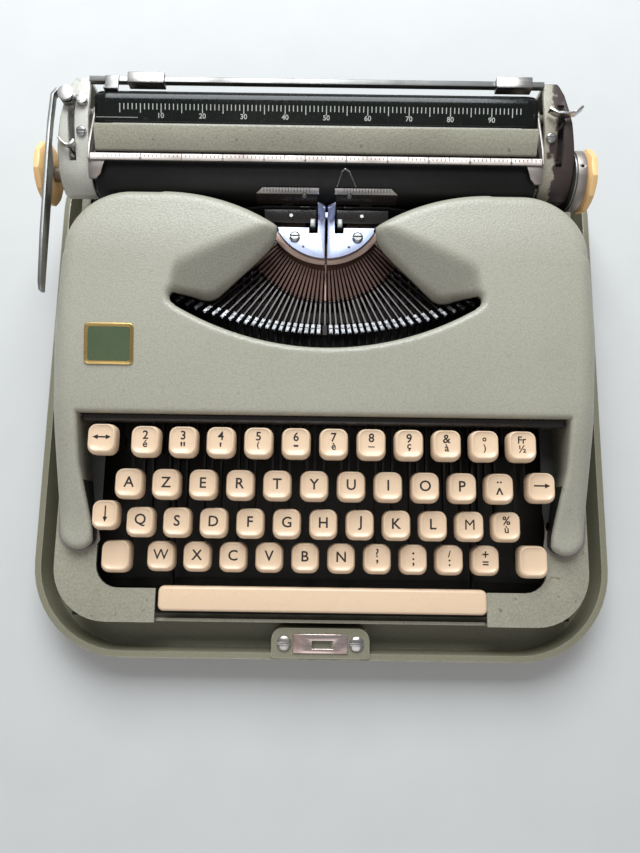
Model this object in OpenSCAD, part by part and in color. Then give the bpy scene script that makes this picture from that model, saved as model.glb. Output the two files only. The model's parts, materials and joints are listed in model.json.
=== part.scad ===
// Portable typewriter standing in the bottom tray of its carrying case.
// X runs to the right, Y to the back and Z up. The origin lies on the table under the middle of the tray.
// The pieces stand at rest: cover shut, keys up, carriage at the middle of its travel.

/* [Tray] */
// Distance from the machine's side to the tray's outer edge
tray_side_gap = 14; // [11:0.5:18]
// Distance from the machine's front to the tray's outer edge
tray_front_gap = 19.5; // [18:0.5:24]
// Distance from the machine's back to the tray's outer edge
tray_rear_gap = 13.5; // [11:0.5:18]
// Corner radius of the tray's outline
tray_corner_r = 50; // [40:1:56]
// Height of the rim's top above the table
tray_rim_z = 22; // [19:0.5:25]
// Width of the rolled rim seen from above
tray_rim_w = 3.4; // [2.6:0.2:4.2]
// Height of the rolled rim's band
tray_rim_h = 4; // [3:0.5:6]
// Sheet thickness of the tray
tray_t = 1.4; // [1:0.1:1.8]
// Height of the rubber feet under the tray
foot_h = 3; // [2:0.5:4]
// Radius of the rubber feet
foot_r = 9; // [6:0.5:12]
// Distance of the feet from the tray's edge
foot_inset = 38; // [30:1:48]
// Width of the raised lug that carries the catch
lug_w = 52.6; // [48:1:58]
// Height of the lug's top above the table
lug_z = 24; // [23:0.5:25]
// Depth of the lug
lug_d = 15.6; // [13:0.2:16]
// Width of the catch's strike plate
strike_w = 29.4; // [26:0.5:32]
// Distance between the catch's two screws
strike_screw_pitch = 38.8; // [36:0.2:44]
// Radius of the catch's screw heads
strike_screw_r = 3.9; // [3:0.1:4.2]

/* [Lower shell] */
// Width of the lower shell
shell_w = 286; // [284:1:290]
// Distance from the origin to the shell's front
shell_front = 134; // [133:0.5:135]
// Distance from the origin to the shell's back
shell_rear = 140; // [140:0.5:143]
// Corner radius of the shell's outline
shell_corner_r = 29; // [24:1:34]
// Sheet thickness of the shell
shell_t = 1.6; // [1.2:0.1:2]
// Height of the shell's top ledge above the table
ledge_z = 31; // [30.5:0.1:31.2]
// Height of the bar in front of the space bar
front_bar_z = 25; // [23:0.5:27]
// Width of the notch round the space bar
notch_w = 176; // [176:1:182]
// Width of the keyboard well
well_w = 241; // [240.4:0.2:243]
// Distance from the origin to the well's front edge
well_front = 116.5; // [114.5:0.5:117]
// Radius of the well's front corners
well_corner_r = 12; // [6:1:13]

/* [Cover] */
// Width of the cover across the arms and deck
cover_w = 282; // [280:0.5:284]
// Width of the cover near its back
cover_rear_w = 271; // [266:1:274]
// Sheet thickness of the cover
cover_t = 1.8; // [1.4:0.1:2.2]
// Gap between the cover and the ledge
cover_gap = 0.4; // [0.3:0.1:0.6]
// Height of the deck's front lip behind the keys
lip_z = 61; // [59:0.5:62]
// Distance from the origin to the front lip, towards the front
lip_y = 28; // [26:0.5:29]
// Height of the deck where the type basket opens
deck_mid_z = 68.2; // [67:0.2:69]
// Height of the deck at its back
deck_rear_z = 74; // [73:0.2:74.4]
// Distance from the origin to the cover's back edge
cover_rear = 89; // [87.5:0.1:89.2]
// Radius of the cover's back corners seen from above
cover_corner_r = 27; // [22:1:32]
// Radius of the cover's long shoulders
shoulder_r = 12; // [9:0.5:14]
// Radius of the shoulder along the back edge
rear_roll_r = 6; // [4:0.5:8]
// Distance from the middle at which the back edge starts to draw forwards
tail_x = 85; // [80:1:90]
// Radius of the curve in which the back edge draws forwards to the wing tips
tail_r = 107; // [100:1:115]
// Half the distance between the middles of the two arm ends
arm_x = 129; // [128.6:0.1:129.6]
// Radius of the arm ends seen from above
arm_nose_r = 9.5; // [8.5:0.1:9.8]
// Distance from the origin to the middle of the arm ends
arm_nose_y = 87; // [85:0.5:88]
// Thickness of the arm ends
arm_nose_t = 7.6; // [7:0.1:8.4]
// Width of the opening between the arms at the lip
arm_gap_rear = 252; // [250:0.5:253]
// Width of the opening between the arms at their ends
arm_gap_front = 242; // [241:0.5:243]
// Radius of the cover's hinge pins
hinge_pin_r = 1.5; // [1.2:0.1:1.6]
// Depth of the slope from the lobes down to the type basket
flank_drop = 13; // [9:0.5:14]
// Width of the slope from the lobes down to the type basket
flank_w = 17.5; // [14:0.5:18]

/* [Type basket] */
// Distance from the origin to the middle of the type segment's arc
segment_y = 88; // [87:0.2:89]
// Outer radius of the type segment
segment_r = 33; // [32.4:0.2:34]
// Radius of the hollow in the type segment
segment_bore_r = 11; // [9:0.5:12]
// Distance from the origin to the middle of that hollow
bore_y = 78; // [77.4:0.2:78.6]
// Height of the segment's top
segment_z = 57; // [55:0.5:58]
// Height of the segment's underside
segment_bottom_z = 40.5; // [40:0.1:41]
// Radius of the silver guide plate
guide_plate_r = 29.8; // [28.6:0.1:30.4]
// Thickness of the guide plate
guide_plate_t = 1.5; // [1:0.1:2]
// Height of the type guide's top
guide_top_z = 72; // [70:0.5:73]
// Number of typebars to one side of the middle one
bars_per_side = 21; // [18:1:21]
// Angle between the first and last typebar on one side
bar_fan = 60.5; // [57:0.5:62]
// Thickness of a typebar
bar_t = 0.8; // [0.6:0.05:0.9]
// Distance from the origin to the middle type when it is at rest
type_y = 23; // [21.5:0.5:24]
// Angle of the printing place above the platen's middle line
print_angle = 28; // [26:1:30]
// Height of the typebars' pivots
bar_pivot_z = 44.1; // [43.6:0.1:44.6]
// Height of the type face over the bar's middle line
type_face_h = 3; // [2.5:0.1:3.4]
// Gap left for paper, ribbon and the shifted type when the type strikes
strike_gap = 2.9; // [2.8:0.1:3.2]
// Distance from the origin to the front of the type basket's opening
basket_front = 7.3; // [6:0.1:9]
// Half the width of the type basket's opening
basket_half_w = 87; // [85:0.5:89]
// Half the width of the gap between the cover's two wing tips
wing_gap = 26; // [25:0.2:28]

/* [Keyboard] */
// Distance between neighbouring keys in a row
key_pitch = 19; // [18.8:0.05:19.1]
// Width of a key top
cap_w = 14.8; // [14:0.2:15.6]
// Depth of a key top
cap_d = 15.8; // [15:0.2:16.2]
// Height of a key top
cap_h = 6; // [5.4:0.2:7]
// Corner radius of a key top
cap_r = 4.2; // [3.4:0.2:4.8]
// Depth of the finger dish in a key top
dish_depth = 0.8; // [0.4:0.1:1.2]
// Thickness of a key lever
lever_t = 1.2; // [0.8:0.1:1.3]
// Height of a key lever
lever_h = 5; // [4:0.2:5.6]
// Height of the levers' lower edge under the keys
lever_front_z = 20; // [19:0.5:21]
// Width of the upright that carries a key top
stem_w = 3; // [2.4:0.2:4]
// Distance from the origin to the levers' pivot rod
rod_y = 92; // [91:0.5:93]
// Height of the levers' pivot rod
rod_z = 28; // [27.4:0.1:28.2]
// Radius of the levers' pivot rod
rod_r = 2; // [1.6:0.1:2.2]
// Width of the space bar
space_w = 174; // [170:0.5:174.4]
// Depth of the space bar
space_d = 13; // [12:0.2:13.6]
// Height of the space bar's top
space_z = 33; // [32:0.5:34]
// Thickness of the space bar
space_h = 4; // [3:0.2:5]

/* [Ribbon] */
// Distance of the ribbon spools from the middle
spool_x = 98; // [96:0.5:99]
// Distance from the origin to the ribbon spools
spool_y = 64; // [62:0.5:65]
// Radius of a ribbon spool
spool_r = 18; // [16:0.5:18.5]
// Height of a ribbon spool
spool_h = 14; // [12:0.5:15]
// Height of the plate that carries a spool
spool_plate_z = 47.4; // [46.6:0.2:47.8]
// Width of the ribbon
ribbon_w = 11.5; // [9:0.5:12]
// Lift of the ribbon guide when a key is struck
vibrator_lift = 7.5; // [6:0.5:8]

/* [Carriage] */
// Sideways place of the carriage's middle at rest
carriage_x = -6; // [-7:0.5:-5]
// Half the width of the carriage over its end housings
housing_half = 134.4; // [133.8:0.2:135]
// Width of an end housing
housing_w = 16.4; // [16:0.1:16.8]
// Sheet thickness of an end housing
housing_t = 2; // [1.6:0.1:2.4]
// Distance from the origin to the platen's middle line
platen_y = 103; // [102.8:0.1:103.2]
// Height of the platen's middle line
platen_z = 60.5; // [60.3:0.1:60.7]
// Radius of the rubber platen
platen_r = 14.5; // [14:0.1:14.6]
// Gap between the platen's ends and the end housings
platen_end_gap = 3; // [2.5:0.5:5]
// Radius of the platen's shaft
shaft_r = 4; // [3:0.1:4.2]
// Radius of the platen knobs over their corners
knob_r = 16.5; // [15:0.1:16.6]
// Thickness of a platen knob
knob_w = 6.6; // [5:0.2:8]
// Distance of the knobs from the end housings
knob_gap = 6.2; // [5:0.2:7]
// Number of flats round a knob
knob_flats = 10; // [8:1:12]
// Height of the carriage bed's top
bed_z = 40; // [39.8:0.1:40.2]
// Height of the rails' top
rail_z = 36; // [35.6:0.1:36.2]
// Width of a rail
rail_w = 4; // [3:0.2:4.4]
// Running gap between the carriage and its rails
rail_gap = 0.3; // [0.2:0.05:0.4]
// Radius of the feed rollers
feed_r = 3.2; // [2.8:0.1:3.3]
// Radius of the feed rollers' pins
feed_pin_r = 1.2; // [1:0.1:1.3]
// Gap between the ends of the painted paper table or scale plate and the end housings
table_end_gap = 4.4; // [3:0.2:6]
// Height of the return lever's top at its pivot
return_top_z = 86; // [85:0.5:87]
// Thickness of the return lever's blade
return_t = 1.6; // [1.2:0.1:1.8]

/* [Fits] */
// Radial clearance of shafts and pins that turn
run_gap = 0.05; // [0.03:0.01:0.08]
// Clearance between pieces that slide past each other
slide_gap = 0.3; // [0.25:0.05:0.4]

/* [Hidden] */
$fn = 48;

PAINT = "darkseagreen";
OLIVE = "darkolivegreen";
CREAM = "wheat";
STEEL = "silver";
DARK = "dimgray";
BLACK = "black";
COPPER = "peru";
over = 1;
floor_z = foot_h + tray_t;
tray_w = shell_w + 2 * tray_side_gap;
tray_d = shell_front + shell_rear + tray_front_gap + tray_rear_gap;
tray_mid_y = (shell_rear + tray_rear_gap - shell_front - tray_front_gap) / 2;
tray_front_y = tray_mid_y - tray_d / 2;
lug_y = tray_front_y + 1 + lug_d / 2;

// Rows from the back to the front: [middle line from the origin, height of the key tops, first key, count]
ROWS = [[41.8, 62, -89.8, 11], [62.6, 53, -99.4, 11], [81.9, 46, -94.4, 11], [99.5, 38, -84.7, 10]];
// The typed key that is joined to the middle typebar: its row and its place in the row
H_ROW = 2;
H_INDEX = 5;
// Special keys: [sideways place, middle line, height, sideways place of the lever, width, depth]
KEY_MARGIN = [-111.8, 41, 62, -109.8, cap_w, cap_d];
KEY_TAB = [112, 61.9, 53, 112, cap_w, cap_d];
KEY_LOCK = [-112.3, 78.6, 47.5, -114, 14, cap_d - 0.4];
KEY_SHIFT_L = [-108.3, 99.9, 38, -105.2, 15.8, 17];
KEY_SHIFT_R = [111.4, 99.9, 38, 106.5, 15.8, 17];
SPACE_LEVERS = [-82.55, 83.75];
space_y = (shell_front - shell_t + well_front) / 2 - 3;

hinge_y = -arm_nose_y - arm_nose_r + arm_nose_t / 2;
cover_z = ledge_z + cover_gap;
hinge_z = cover_z + arm_nose_t / 2;
hinge_ear_t = 3;
plate_x = shell_w / 2 - 7;
plate_t = 2;

strike_reach = platen_r + type_face_h + strike_gap;
strike_y = platen_y - strike_reach * cos(print_angle);
strike_rise = platen_z + strike_reach * sin(print_angle) - bar_pivot_z;
bar_pivot_y = (pow(strike_y, 2) + pow(strike_rise, 2) - pow(type_y, 2)) / (2 * (strike_y - type_y));
// How far the type leans to the front on its bar, so that it meets the platen squarely
type_lean = 90 - print_angle - atan2(strike_rise, strike_y - bar_pivot_y);
vibrator_y = platen_y - platen_r - 3.9;
bridge_z = 34.6;
bridge_t = 2;
post_x = 33;
post_y = bore_y + 2;
plate_rear = segment_y - 12.4;
post_r = 2.2;

front_rail_y = 112;
rear_rail_y = 135.5;
front_rail_half = plate_x - 1;
rear_rail_half = shell_w / 2 - shell_corner_r + 4;
seat_z = 29;
deck_t = 2;
deck_front = front_rail_y - 8;
deck_rear = front_rail_y + 8;
chassis_front = well_front + 1.5;
upright_x = 121;
runner_w = 8;
runner_z = rail_z - 4.2;
bed_half = housing_half - housing_w;
platen_half = bed_half - platen_end_gap;
table_half = bed_half - table_end_gap;
table_front_y = platen_y + 3.8;
scale_rear = 137.5;
bail_pivot = [132, 72];
lever_x = housing_half - 7.7;
// Pivots of the small levers in the right and in the left housing, seen from the side
RELEASE_PIVOT = [127.5, 64];
SPACE_PIVOT = [110, 66];
drum_at = [-100, 122];
drum_r = 14.5;
bell_at = [100, 123];
wheel_at = [0, 124];
pinion_r = 4.9;

// Outline of a rectangle with round corners, n steps to a corner
function rounded(w, d, r, n) = [for (c = [0:3], i = [0:n])
    let (a = c * 90 + i * 90 / n, sx = (c == 0 || c == 3) ? 1 : -1, sy = c < 2 ? 1 : -1)
    [sx * (w / 2 - r) + r * cos(a), sy * (d / 2 - r) + r * sin(a)]];

function unit(v) = v / norm(v);

// An outline that runs anticlockwise, drawn in by d
function inset(points, d) = [for (i = [0:len(points) - 1])
    let (n = len(points), here = points[i],
        a = unit(here - points[(i + n - 1) % n]), b = unit(points[(i + 1) % n] - here),
        na = [-a[1], a[0]], nb = [-b[1], b[0]])
    here + d * (na + nb) / (1 + na * nb)];

// A band of width t along a line of points
function band(points, t) = let (n = len(points) - 1,
    side = [for (i = [0:n])
        let (a = unit(points[min(i + 1, n)] - points[max(i - 1, 0)])) [-a[1], a[0]] * t / 2])
    concat([for (i = [0:n]) points[i] - side[i]], [for (i = [n:-1:0]) points[i] + side[i]]);

function arc(cx, cy, r, a0, a1, n) = [for (i = [0:n])
    let (a = a0 + (a1 - a0) * i / n) [cx + r * cos(a), cy + r * sin(a)]];

function key_x(row, i) = ROWS[row][2] + key_pitch * i;

// A solid drawn in the side view (Y, Z) and drawn out along X from x
module side_solid(x, w, points) {
    translate([x, 0, 0]) rotate([90, 0, 90]) linear_extrude(w) polygon(points);
}

// A cylinder along X from x, with its middle line at (y, z)
module bar_x(x, y, z, r, w) {
    translate([x, y, z]) rotate([0, 90, 0]) cylinder(r = r, h = w);
}

// A block from one corner to the other
module block(a, b) {
    translate(a) cube(b - a);
}

module both_sides() {
    children();
    mirror([1, 0, 0]) children();
}

module slotted_head(r, h) {
    difference() {
        union() {
            cylinder(r = r, h = h * 0.6);
            translate([0, 0, h * 0.6]) cylinder(r1 = r, r2 = r * 0.7, h = h * 0.4);
        }
        translate([-r - over, -r * 0.12, h * 0.55]) cube([2 * (r + over), r * 0.24, h]);
    }
}

// Tray

module base_pan() {
    wall_inset = tray_rim_w - tray_t;
    color(OLIVE) difference() {
        union() {
            translate([0, tray_mid_y, foot_h]) linear_extrude(tray_rim_z - foot_h)
                polygon(rounded(tray_w - 2 * wall_inset, tray_d - 2 * wall_inset, tray_corner_r - wall_inset, 12));
            translate([0, tray_mid_y, tray_rim_z - tray_rim_h]) linear_extrude(tray_rim_h)
                polygon(rounded(tray_w, tray_d, tray_corner_r, 12));
        }
        difference() {
            translate([0, tray_mid_y, floor_z]) linear_extrude(tray_rim_z)
                polygon(rounded(tray_w - 2 * tray_rim_w, tray_d - 2 * tray_rim_w, tray_corner_r - tray_rim_w, 12));
            block([-lug_w / 2, tray_front_y, 0], [lug_w / 2, tray_front_y + lug_d + 1, tray_rim_z]);
        }
    }
    color(OLIVE) difference() {
        translate([0, lug_y, tray_rim_z]) linear_extrude(lug_z - tray_rim_z) polygon(rounded(lug_w, lug_d, 2, 4));
        block([-6, lug_y - 2.8, 0], [6, lug_y + 2.2, lug_z + over]);
    }
}

module rubber_feet() {
    color(BLACK) for (sx = [-1, 1], sy = [-1, 1])
        translate([sx * (tray_w / 2 - foot_inset), tray_mid_y + sy * (tray_d / 2 - foot_inset), 0])
            cylinder(r = foot_r, h = foot_h);
}

module latch_strike() {
    plate_h = 1;
    color(STEEL) difference() {
        block([-strike_w / 2, lug_y - 5, lug_z], [strike_w / 2, lug_y + 5, lug_z + plate_h]);
        block([-4.4, lug_y - 2.6, lug_z - over], [6.8, lug_y + 1.6, lug_z + 2 * plate_h]);
    }
}

module latch_screws() {
    color(STEEL) for (sx = [-1, 1])
        translate([sx * strike_screw_pitch / 2, lug_y, lug_z]) slotted_head(strike_screw_r, 1.6);
}

// Lower shell and chassis

module lower_shell() {
    mid_y = (shell_rear - shell_front) / 2;
    depth = shell_rear + shell_front;
    color(PAINT) difference() {
        translate([0, mid_y, floor_z]) linear_extrude(ledge_z - floor_z)
            polygon(rounded(shell_w, depth, shell_corner_r, 10));
        translate([0, mid_y, floor_z - over]) linear_extrude(ledge_z - shell_t - floor_z + over)
            polygon(rounded(shell_w - 2 * shell_t, depth - 2 * shell_t, shell_corner_r - shell_t, 10));
        // keyboard well, widened under the cover and opened for the carriage's rails
        translate([0, (60 - well_front) / 2, floor_z]) linear_extrude(ledge_z)
            polygon(rounded(well_w, 60 + well_front, well_corner_r, 6));
        translate([0, (40 + shell_rear - shell_t) / 2, floor_z]) linear_extrude(ledge_z)
            polygon(rounded(2 * plate_x + 4, shell_rear - shell_t - 40, shell_corner_r - 6, 8));
        // notch for the space bar, behind a low front bar
        block([-notch_w / 2, -shell_front + shell_t, floor_z], [notch_w / 2, -well_front + over, ledge_z + over]);
        block([-notch_w / 2, -shell_front - over, front_bar_z],
            [notch_w / 2, -shell_front + shell_t + over, ledge_z + over]);
        // slots for the ears of the cover's hinge
        for (sx = [-1, 1])
            translate([sx * arm_x - hinge_ear_t / 2 - slide_gap, hinge_y - 2.4, ledge_z - shell_t - over])
                cube([hinge_ear_t + 2 * slide_gap, 4.8, shell_t + 2 * over]);
    }
}

module hinge_ear() {
    ear_w = 3.4;
    block([arm_x - hinge_ear_t / 2, hinge_y - ear_w / 2, 22], [arm_x + hinge_ear_t / 2, hinge_y + ear_w / 2, hinge_z]);
    bar_x(arm_x - hinge_ear_t / 2, hinge_y, hinge_z, hinge_pin_r + 0.7, hinge_ear_t);
    bar_x(arm_x - 4.5, hinge_y, hinge_z, hinge_pin_r, 9);
    block([arm_x, hinge_y - ear_w / 2, 20], [plate_x + plate_t / 2, hinge_y + ear_w / 2, 24]);
}

module chassis_half() {
    block([plate_x, -chassis_front, floor_z], [plate_x + plate_t, deck_rear, ledge_z - shell_t - 0.2]);
    hinge_ear();
    // spool plate on its upright, with the spool's post
    block([upright_x - plate_t, spool_y - 12, floor_z + 4], [upright_x, spool_y + 8, spool_plate_z]);
    block([upright_x - plate_t, spool_y - 12, floor_z + 4], [plate_x + over, spool_y + 8, floor_z + 6]);
    block([spool_x - 14, spool_y - 12, spool_plate_z - 1.6], [upright_x, spool_y + 8, spool_plate_z]);
    translate([spool_x, spool_y, spool_plate_z]) cylinder(r = 2, h = spool_h + 1);
    // arm and post that the type segment slides on
    block([post_x - 5, post_y - 5, bridge_z - bridge_t], [post_x + 5, deck_front, bridge_z]);
    translate([post_x, post_y, bridge_z]) cylinder(r = post_r, h = 14);
}

module chassis() {
    deck_z = floor_z + deck_t;
    bracket_y = vibrator_y + 1.1;
    color(DARK) {
        both_sides() chassis_half();
        // cross bars: front, floor under the carriage, and the two rail seats
        block([-plate_x - over, -chassis_front, floor_z], [plate_x + over, 5 - chassis_front, floor_z + 1.2]);
        block([-plate_x - over, deck_front, floor_z], [plate_x + over, deck_rear, deck_z]);
        block([-rear_rail_half, deck_front, floor_z], [rear_rail_half, rear_rail_y + rail_w / 2, deck_z]);
        block([-plate_x - over, front_rail_y - rail_w, 23], [plate_x + over, front_rail_y + rail_w, seat_z]);
        block([-rear_rail_half, rear_rail_y - rail_w, 23], [rear_rail_half, rear_rail_y + rail_w / 2, seat_z]);
        block([-rear_rail_half + 38, rear_rail_y - 1, floor_z], [rear_rail_half - 38, rear_rail_y + 1, seat_z]);
        // bridge over the key levers, which carries the ribbon's guide
        block([-post_x - 5, platen_y, 23], [post_x + 5, front_rail_y - runner_w / 2 - 0.6, bridge_z]);
        block([-post_x, bracket_y, bridge_z - bridge_t], [post_x, platen_y + over, bridge_z]);
        block([-post_x - 5, platen_y, 23], [post_x + 5, front_rail_y - rail_w + over, seat_z]);
        block([-15, bracket_y, bridge_z - over], [15, bracket_y + 1, 48]);
        // posts of the mainspring drum, the bell and the escapement
        translate([drum_at[0], drum_at[1], floor_z + over]) cylinder(r = 2, h = 16);
        translate([bell_at[0], bell_at[1], floor_z + over]) cylinder(r = 1.5, h = 14);
        translate([wheel_at[0], wheel_at[1], floor_z + over]) cylinder(r = 1.5, h = 28);
    }
}

module carriage_rails() {
    color(STEEL) for (rail = [[front_rail_y, front_rail_half], [rear_rail_y, rear_rail_half]])
        block([-rail[1], rail[0] - rail_w / 2, seat_z], [rail[1], rail[0] + rail_w / 2, rail_z]);
}

module mainspring_drum() {
    color(STEEL) translate([drum_at[0], drum_at[1], floor_z + 2.3]) difference() {
        union() {
            cylinder(r = drum_r, h = 12);
            cylinder(r = drum_r + 1, h = 1);
            translate([0, 0, 11]) cylinder(r = drum_r + 1, h = 1);
        }
        translate([0, 0, -over]) cylinder(r = 2 + run_gap, h = 14);
    }
}

module escapement_wheel() {
    teeth = 18;
    points = [for (i = [0:teeth - 1], k = [0, 1])
        let (a = (i + k * 0.75) * 360 / teeth, r = k == 0 ? 6.6 : 5.2) [r * cos(a), r * sin(a)]];
    color(STEEL) translate([wheel_at[0], wheel_at[1], 24]) difference() {
        union() {
            linear_extrude(1.5) polygon(points);
            cylinder(r = 2.6, h = 10);
            translate([0, 0, 9]) cylinder(r = pinion_r, h = 3.4);
        }
        translate([0, 0, -over]) cylinder(r = 1.5 + run_gap, h = 16);
    }
}

module bell() {
    bell_r = 13;
    color(STEEL) translate([bell_at[0], bell_at[1], floor_z + 4]) difference() {
        intersection() {
            sphere(r = bell_r);
            cylinder(r = bell_r, h = 10);
        }
        intersection() {
            sphere(r = bell_r - 1.2);
            translate([0, 0, -over]) cylinder(r = bell_r, h = 9 + over);
        }
        cylinder(r = 1.5 + run_gap, h = 20);
    }
}

module card_holders() {
    y = vibrator_y + 2.7;
    gap = 0.9;
    t = 0.7;
    pointer = [[5.2, 0], [7.4, 10.8], [9.1, 12.6], [11, 10.8], [15.2, 0]];
    color(STEEL) {
        both_sides() {
            block([18, y, bridge_z], [24, y + 0.8, platen_z + 2.5]);
            // scale plate that follows the platen's front
            side_solid(17.8, 19.4, concat(arc(platen_y, platen_z, platen_r + gap, 176, 138, 5),
                arc(platen_y, platen_z, platen_r + gap + t, 138, 176, 5)));
        }
        // wire pointer on its foot behind the type guide
        translate([0, platen_y - 11, platen_z + 10.8]) rotate([77, 0, 0]) linear_extrude(0.9)
            polygon(band(pointer, 0.9));
        side_solid(4.6, 14, concat(arc(platen_y, platen_z, platen_r + gap, 176, 134, 5),
            arc(platen_y, platen_z, platen_r + gap + t, 134, 176, 5)));
    }
}

// Ribbon

module spool(x) {
    color(STEEL) translate([x, spool_y, spool_plate_z + slide_gap]) difference() {
        union() {
            cylinder(r = spool_r, h = 1);
            translate([0, 0, spool_h - 1]) cylinder(r = spool_r, h = 1);
            cylinder(r = spool_r - 3, h = spool_h);
        }
        translate([0, 0, -over]) cylinder(r = 2 + run_gap, h = spool_h + 2 * over);
    }
}

module spool_left() {
    spool(-spool_x);
}

module spool_right() {
    spool(spool_x);
}

module ribbon() {
    back = spool_y + spool_r + 0.5;
    color(BLACK) translate([0, 0, spool_plate_z + slide_gap + 1.2]) linear_extrude(ribbon_w)
        polygon(band([[-spool_x, back], [-50, vibrator_y - 0.3], [-post_x, vibrator_y + 2.2],
            [post_x, vibrator_y + 2.2], [50, vibrator_y - 0.3], [spool_x, back]], 0.3));
}

module ribbon_vibrator() {
    color(STEEL) both_sides() {
        block([-over, vibrator_y, 38], [14, vibrator_y + 0.8, 50]);
        block([9, vibrator_y, 49], [14, vibrator_y + 0.8, 63]);
    }
}

// Type basket

module segment() {
    pin_len = 3;
    color(COPPER) difference() {
        union() {
            intersection() {
                translate([0, segment_y, segment_bottom_z]) cylinder(r = segment_r, h = segment_z - segment_bottom_z);
                block([-40, 0, 0], [40, bore_y + 1, 100]);
            }
            both_sides() block([post_x - 8, post_y - 6, segment_bottom_z], [post_x + 4.5, post_y + 4, 46]);
        }
        translate([0, bore_y, 0]) cylinder(r = segment_bore_r, h = 100);
        block([-bar_t / 2 - 0.2, segment_y - segment_r - over, bar_pivot_z - 3], [bar_t / 2 + 0.2, bore_y, 100]);
        for (sx = [-1, 1]) translate([sx * post_x, post_y, 0]) cylinder(r = post_r + run_gap, h = 100);
    }
    color(STEEL) bar_x(-pin_len, bar_pivot_y, bar_pivot_z, 0.9, 2 * pin_len);
}

module type_guide() {
    slot = bar_t / 2 + 0.3;
    plate_top = segment_z + guide_plate_t;
    color(STEEL) difference() {
        union() {
            intersection() {
                translate([0, segment_y, segment_z]) cylinder(r = guide_plate_r, h = guide_plate_t);
                block([-40, 0, 0], [40, plate_rear, 100]);
            }
            block([-4.6, plate_rear - 4, segment_z], [4.6, vibrator_y - 0.8, plate_top]);
            side_solid(-4.6, 9.2, [[bore_y - 2, segment_z], [vibrator_y - 0.8, segment_z],
                [vibrator_y - 0.8, guide_top_z], [vibrator_y - 2.4, guide_top_z], [vibrator_y - 4, plate_top]]);
        }
        // slot that the typebar comes up through, widened at the top
        block([-slot, 0, 0], [slot, bore_y + 2.6, 100]);
        block([-slot, 0, plate_top + 1.4], [slot, 100, 100]);
        for (sx = [-1, 1]) block([sx * 6.9 - 2.3, plate_rear - 3.2, 0], [sx * 6.9 + 2.3, bore_y, 100]);
        translate([0, 100, guide_top_z]) rotate([90, 45, 0]) cube([8, 8, 40], center = true);
    }
}

module segment_screws() {
    color(STEEL) for (sx = [-1, 1])
        translate([sx * 16.8, plate_rear - 5.6, segment_z + guide_plate_t]) slotted_head(2.9, 1.4);
}

// Height of a typebar's middle line along its run, from the ring to the type
function bar_rest_z(k) = 43 + 5 * pow(k / bars_per_side, 2);

// How far the type lies from the segment's middle, for a bar at angle a: where its line meets the basket's curve
function type_reach(a) = let (q = 0.0024, drop = segment_y - type_y)
    abs(sin(a)) < 0.01 ? drop
        : (-cos(a) + sqrt(pow(cos(a), 2) + 4 * q * pow(sin(a), 2) * drop)) / (2 * q * pow(sin(a), 2));

// The type on the end of a bar, at the middle of its block
module type_block(y, z) {
    translate([0, y, z]) rotate([type_lean, 0, 0]) block([-1.2, -2.6, -2], [1.2, 2.6, type_face_h]);
}

module typebar_at(k) {
    a = k * bar_fan / bars_per_side;
    reach = type_reach(a);
    z = bar_rest_z(k);
    z0 = 47 + 4 * pow(k / bars_per_side, 2);
    root = -segment_r - 0.02;
    translate([0, segment_y, 0]) rotate([0, 0, a]) {
        side_solid(-bar_t / 2, bar_t, [[root, z0 - 2.5], [root, z0 + 2.5], [-reach + 2, z + 1.5],
            [-reach - 2, z + 1.5], [-reach - 2, z - 1.5], [-reach + 6, z - 1.5]]);
        type_block(-reach, z);
    }
}

module typebars() {
    color(STEEL) for (k = [-bars_per_side:bars_per_side]) if (k != 0) typebar_at(k);
}

module typebar_h() {
    color(STEEL) difference() {
        union() {
            side_solid(-bar_t / 2, bar_t, [[bar_pivot_y, bar_pivot_z - 2], [bar_pivot_y, bar_pivot_z + 2],
                [type_y + 2, bar_pivot_z + 1.5], [type_y - 2, bar_pivot_z + 1.5], [type_y - 2, bar_pivot_z - 1.5],
                [type_y + 6, bar_pivot_z - 1.5]]);
            bar_x(-bar_t / 2, bar_pivot_y, bar_pivot_z, 2, bar_t);
            type_block(type_y, bar_pivot_z);
        }
        bar_x(-over, bar_pivot_y, bar_pivot_z, 0.9 + run_gap, 2 * over);
    }
}

module typebar_rest() {
    reach = segment_y - type_y - 8;
    color(BLACK) {
        translate([0, 0, 38.6]) linear_extrude(2)
            polygon(band([for (i = [-8:8])
                let (a = i * (bar_fan - 2) / 8, r = type_reach(a) - 8) [r * sin(a), segment_y - r * cos(a)]], 6));
        both_sides() block([15.2, segment_y - reach, segment_bottom_z - 2], [19.5, bore_y - 13, segment_bottom_z]);
    }
}

// Cover

// One rounded block of the cover's form: plan radius r, shoulder radius e, from z up to top
module cover_corner(x, y, top, r, e, z, drop) {
    translate([x, y, 0]) rotate_extrude($fn = 32)
        polygon(concat([[0, z], [r - drop, z]], [for (i = [0:6])
            [r - drop - (e - drop) + (e - drop) * cos(i * 15), top - e + (e - drop) * sin(i * 15)]],
            [[0, top - drop]]));
}

// The cover's whole form, drawn in by drop
module cover_form(z, drop) {
    hull() both_sides() {
        translate([arm_x, -arm_nose_y, 0]) rotate_extrude($fn = 32)
            polygon(concat([[0, cover_z]], [for (i = [-6:6])
                [arm_nose_r - arm_nose_t / 2 + (arm_nose_t / 2 - drop) * cos(i * 15),
                    hinge_z + (arm_nose_t / 2 - drop) * sin(i * 15)]], [[0, hinge_z + arm_nose_t / 2 - drop]]));
        cover_corner(cover_w / 2 - 18, -lip_y, lip_z, 18, shoulder_r, z, drop);
        cover_corner(cover_w / 2 - 20, 15, deck_mid_z, 20, shoulder_r, z, drop);
        cover_corner(cover_rear_w / 2 - cover_corner_r, cover_rear - cover_corner_r, deck_rear_z, cover_corner_r,
            rear_roll_r, z, drop);
    }
}

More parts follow.
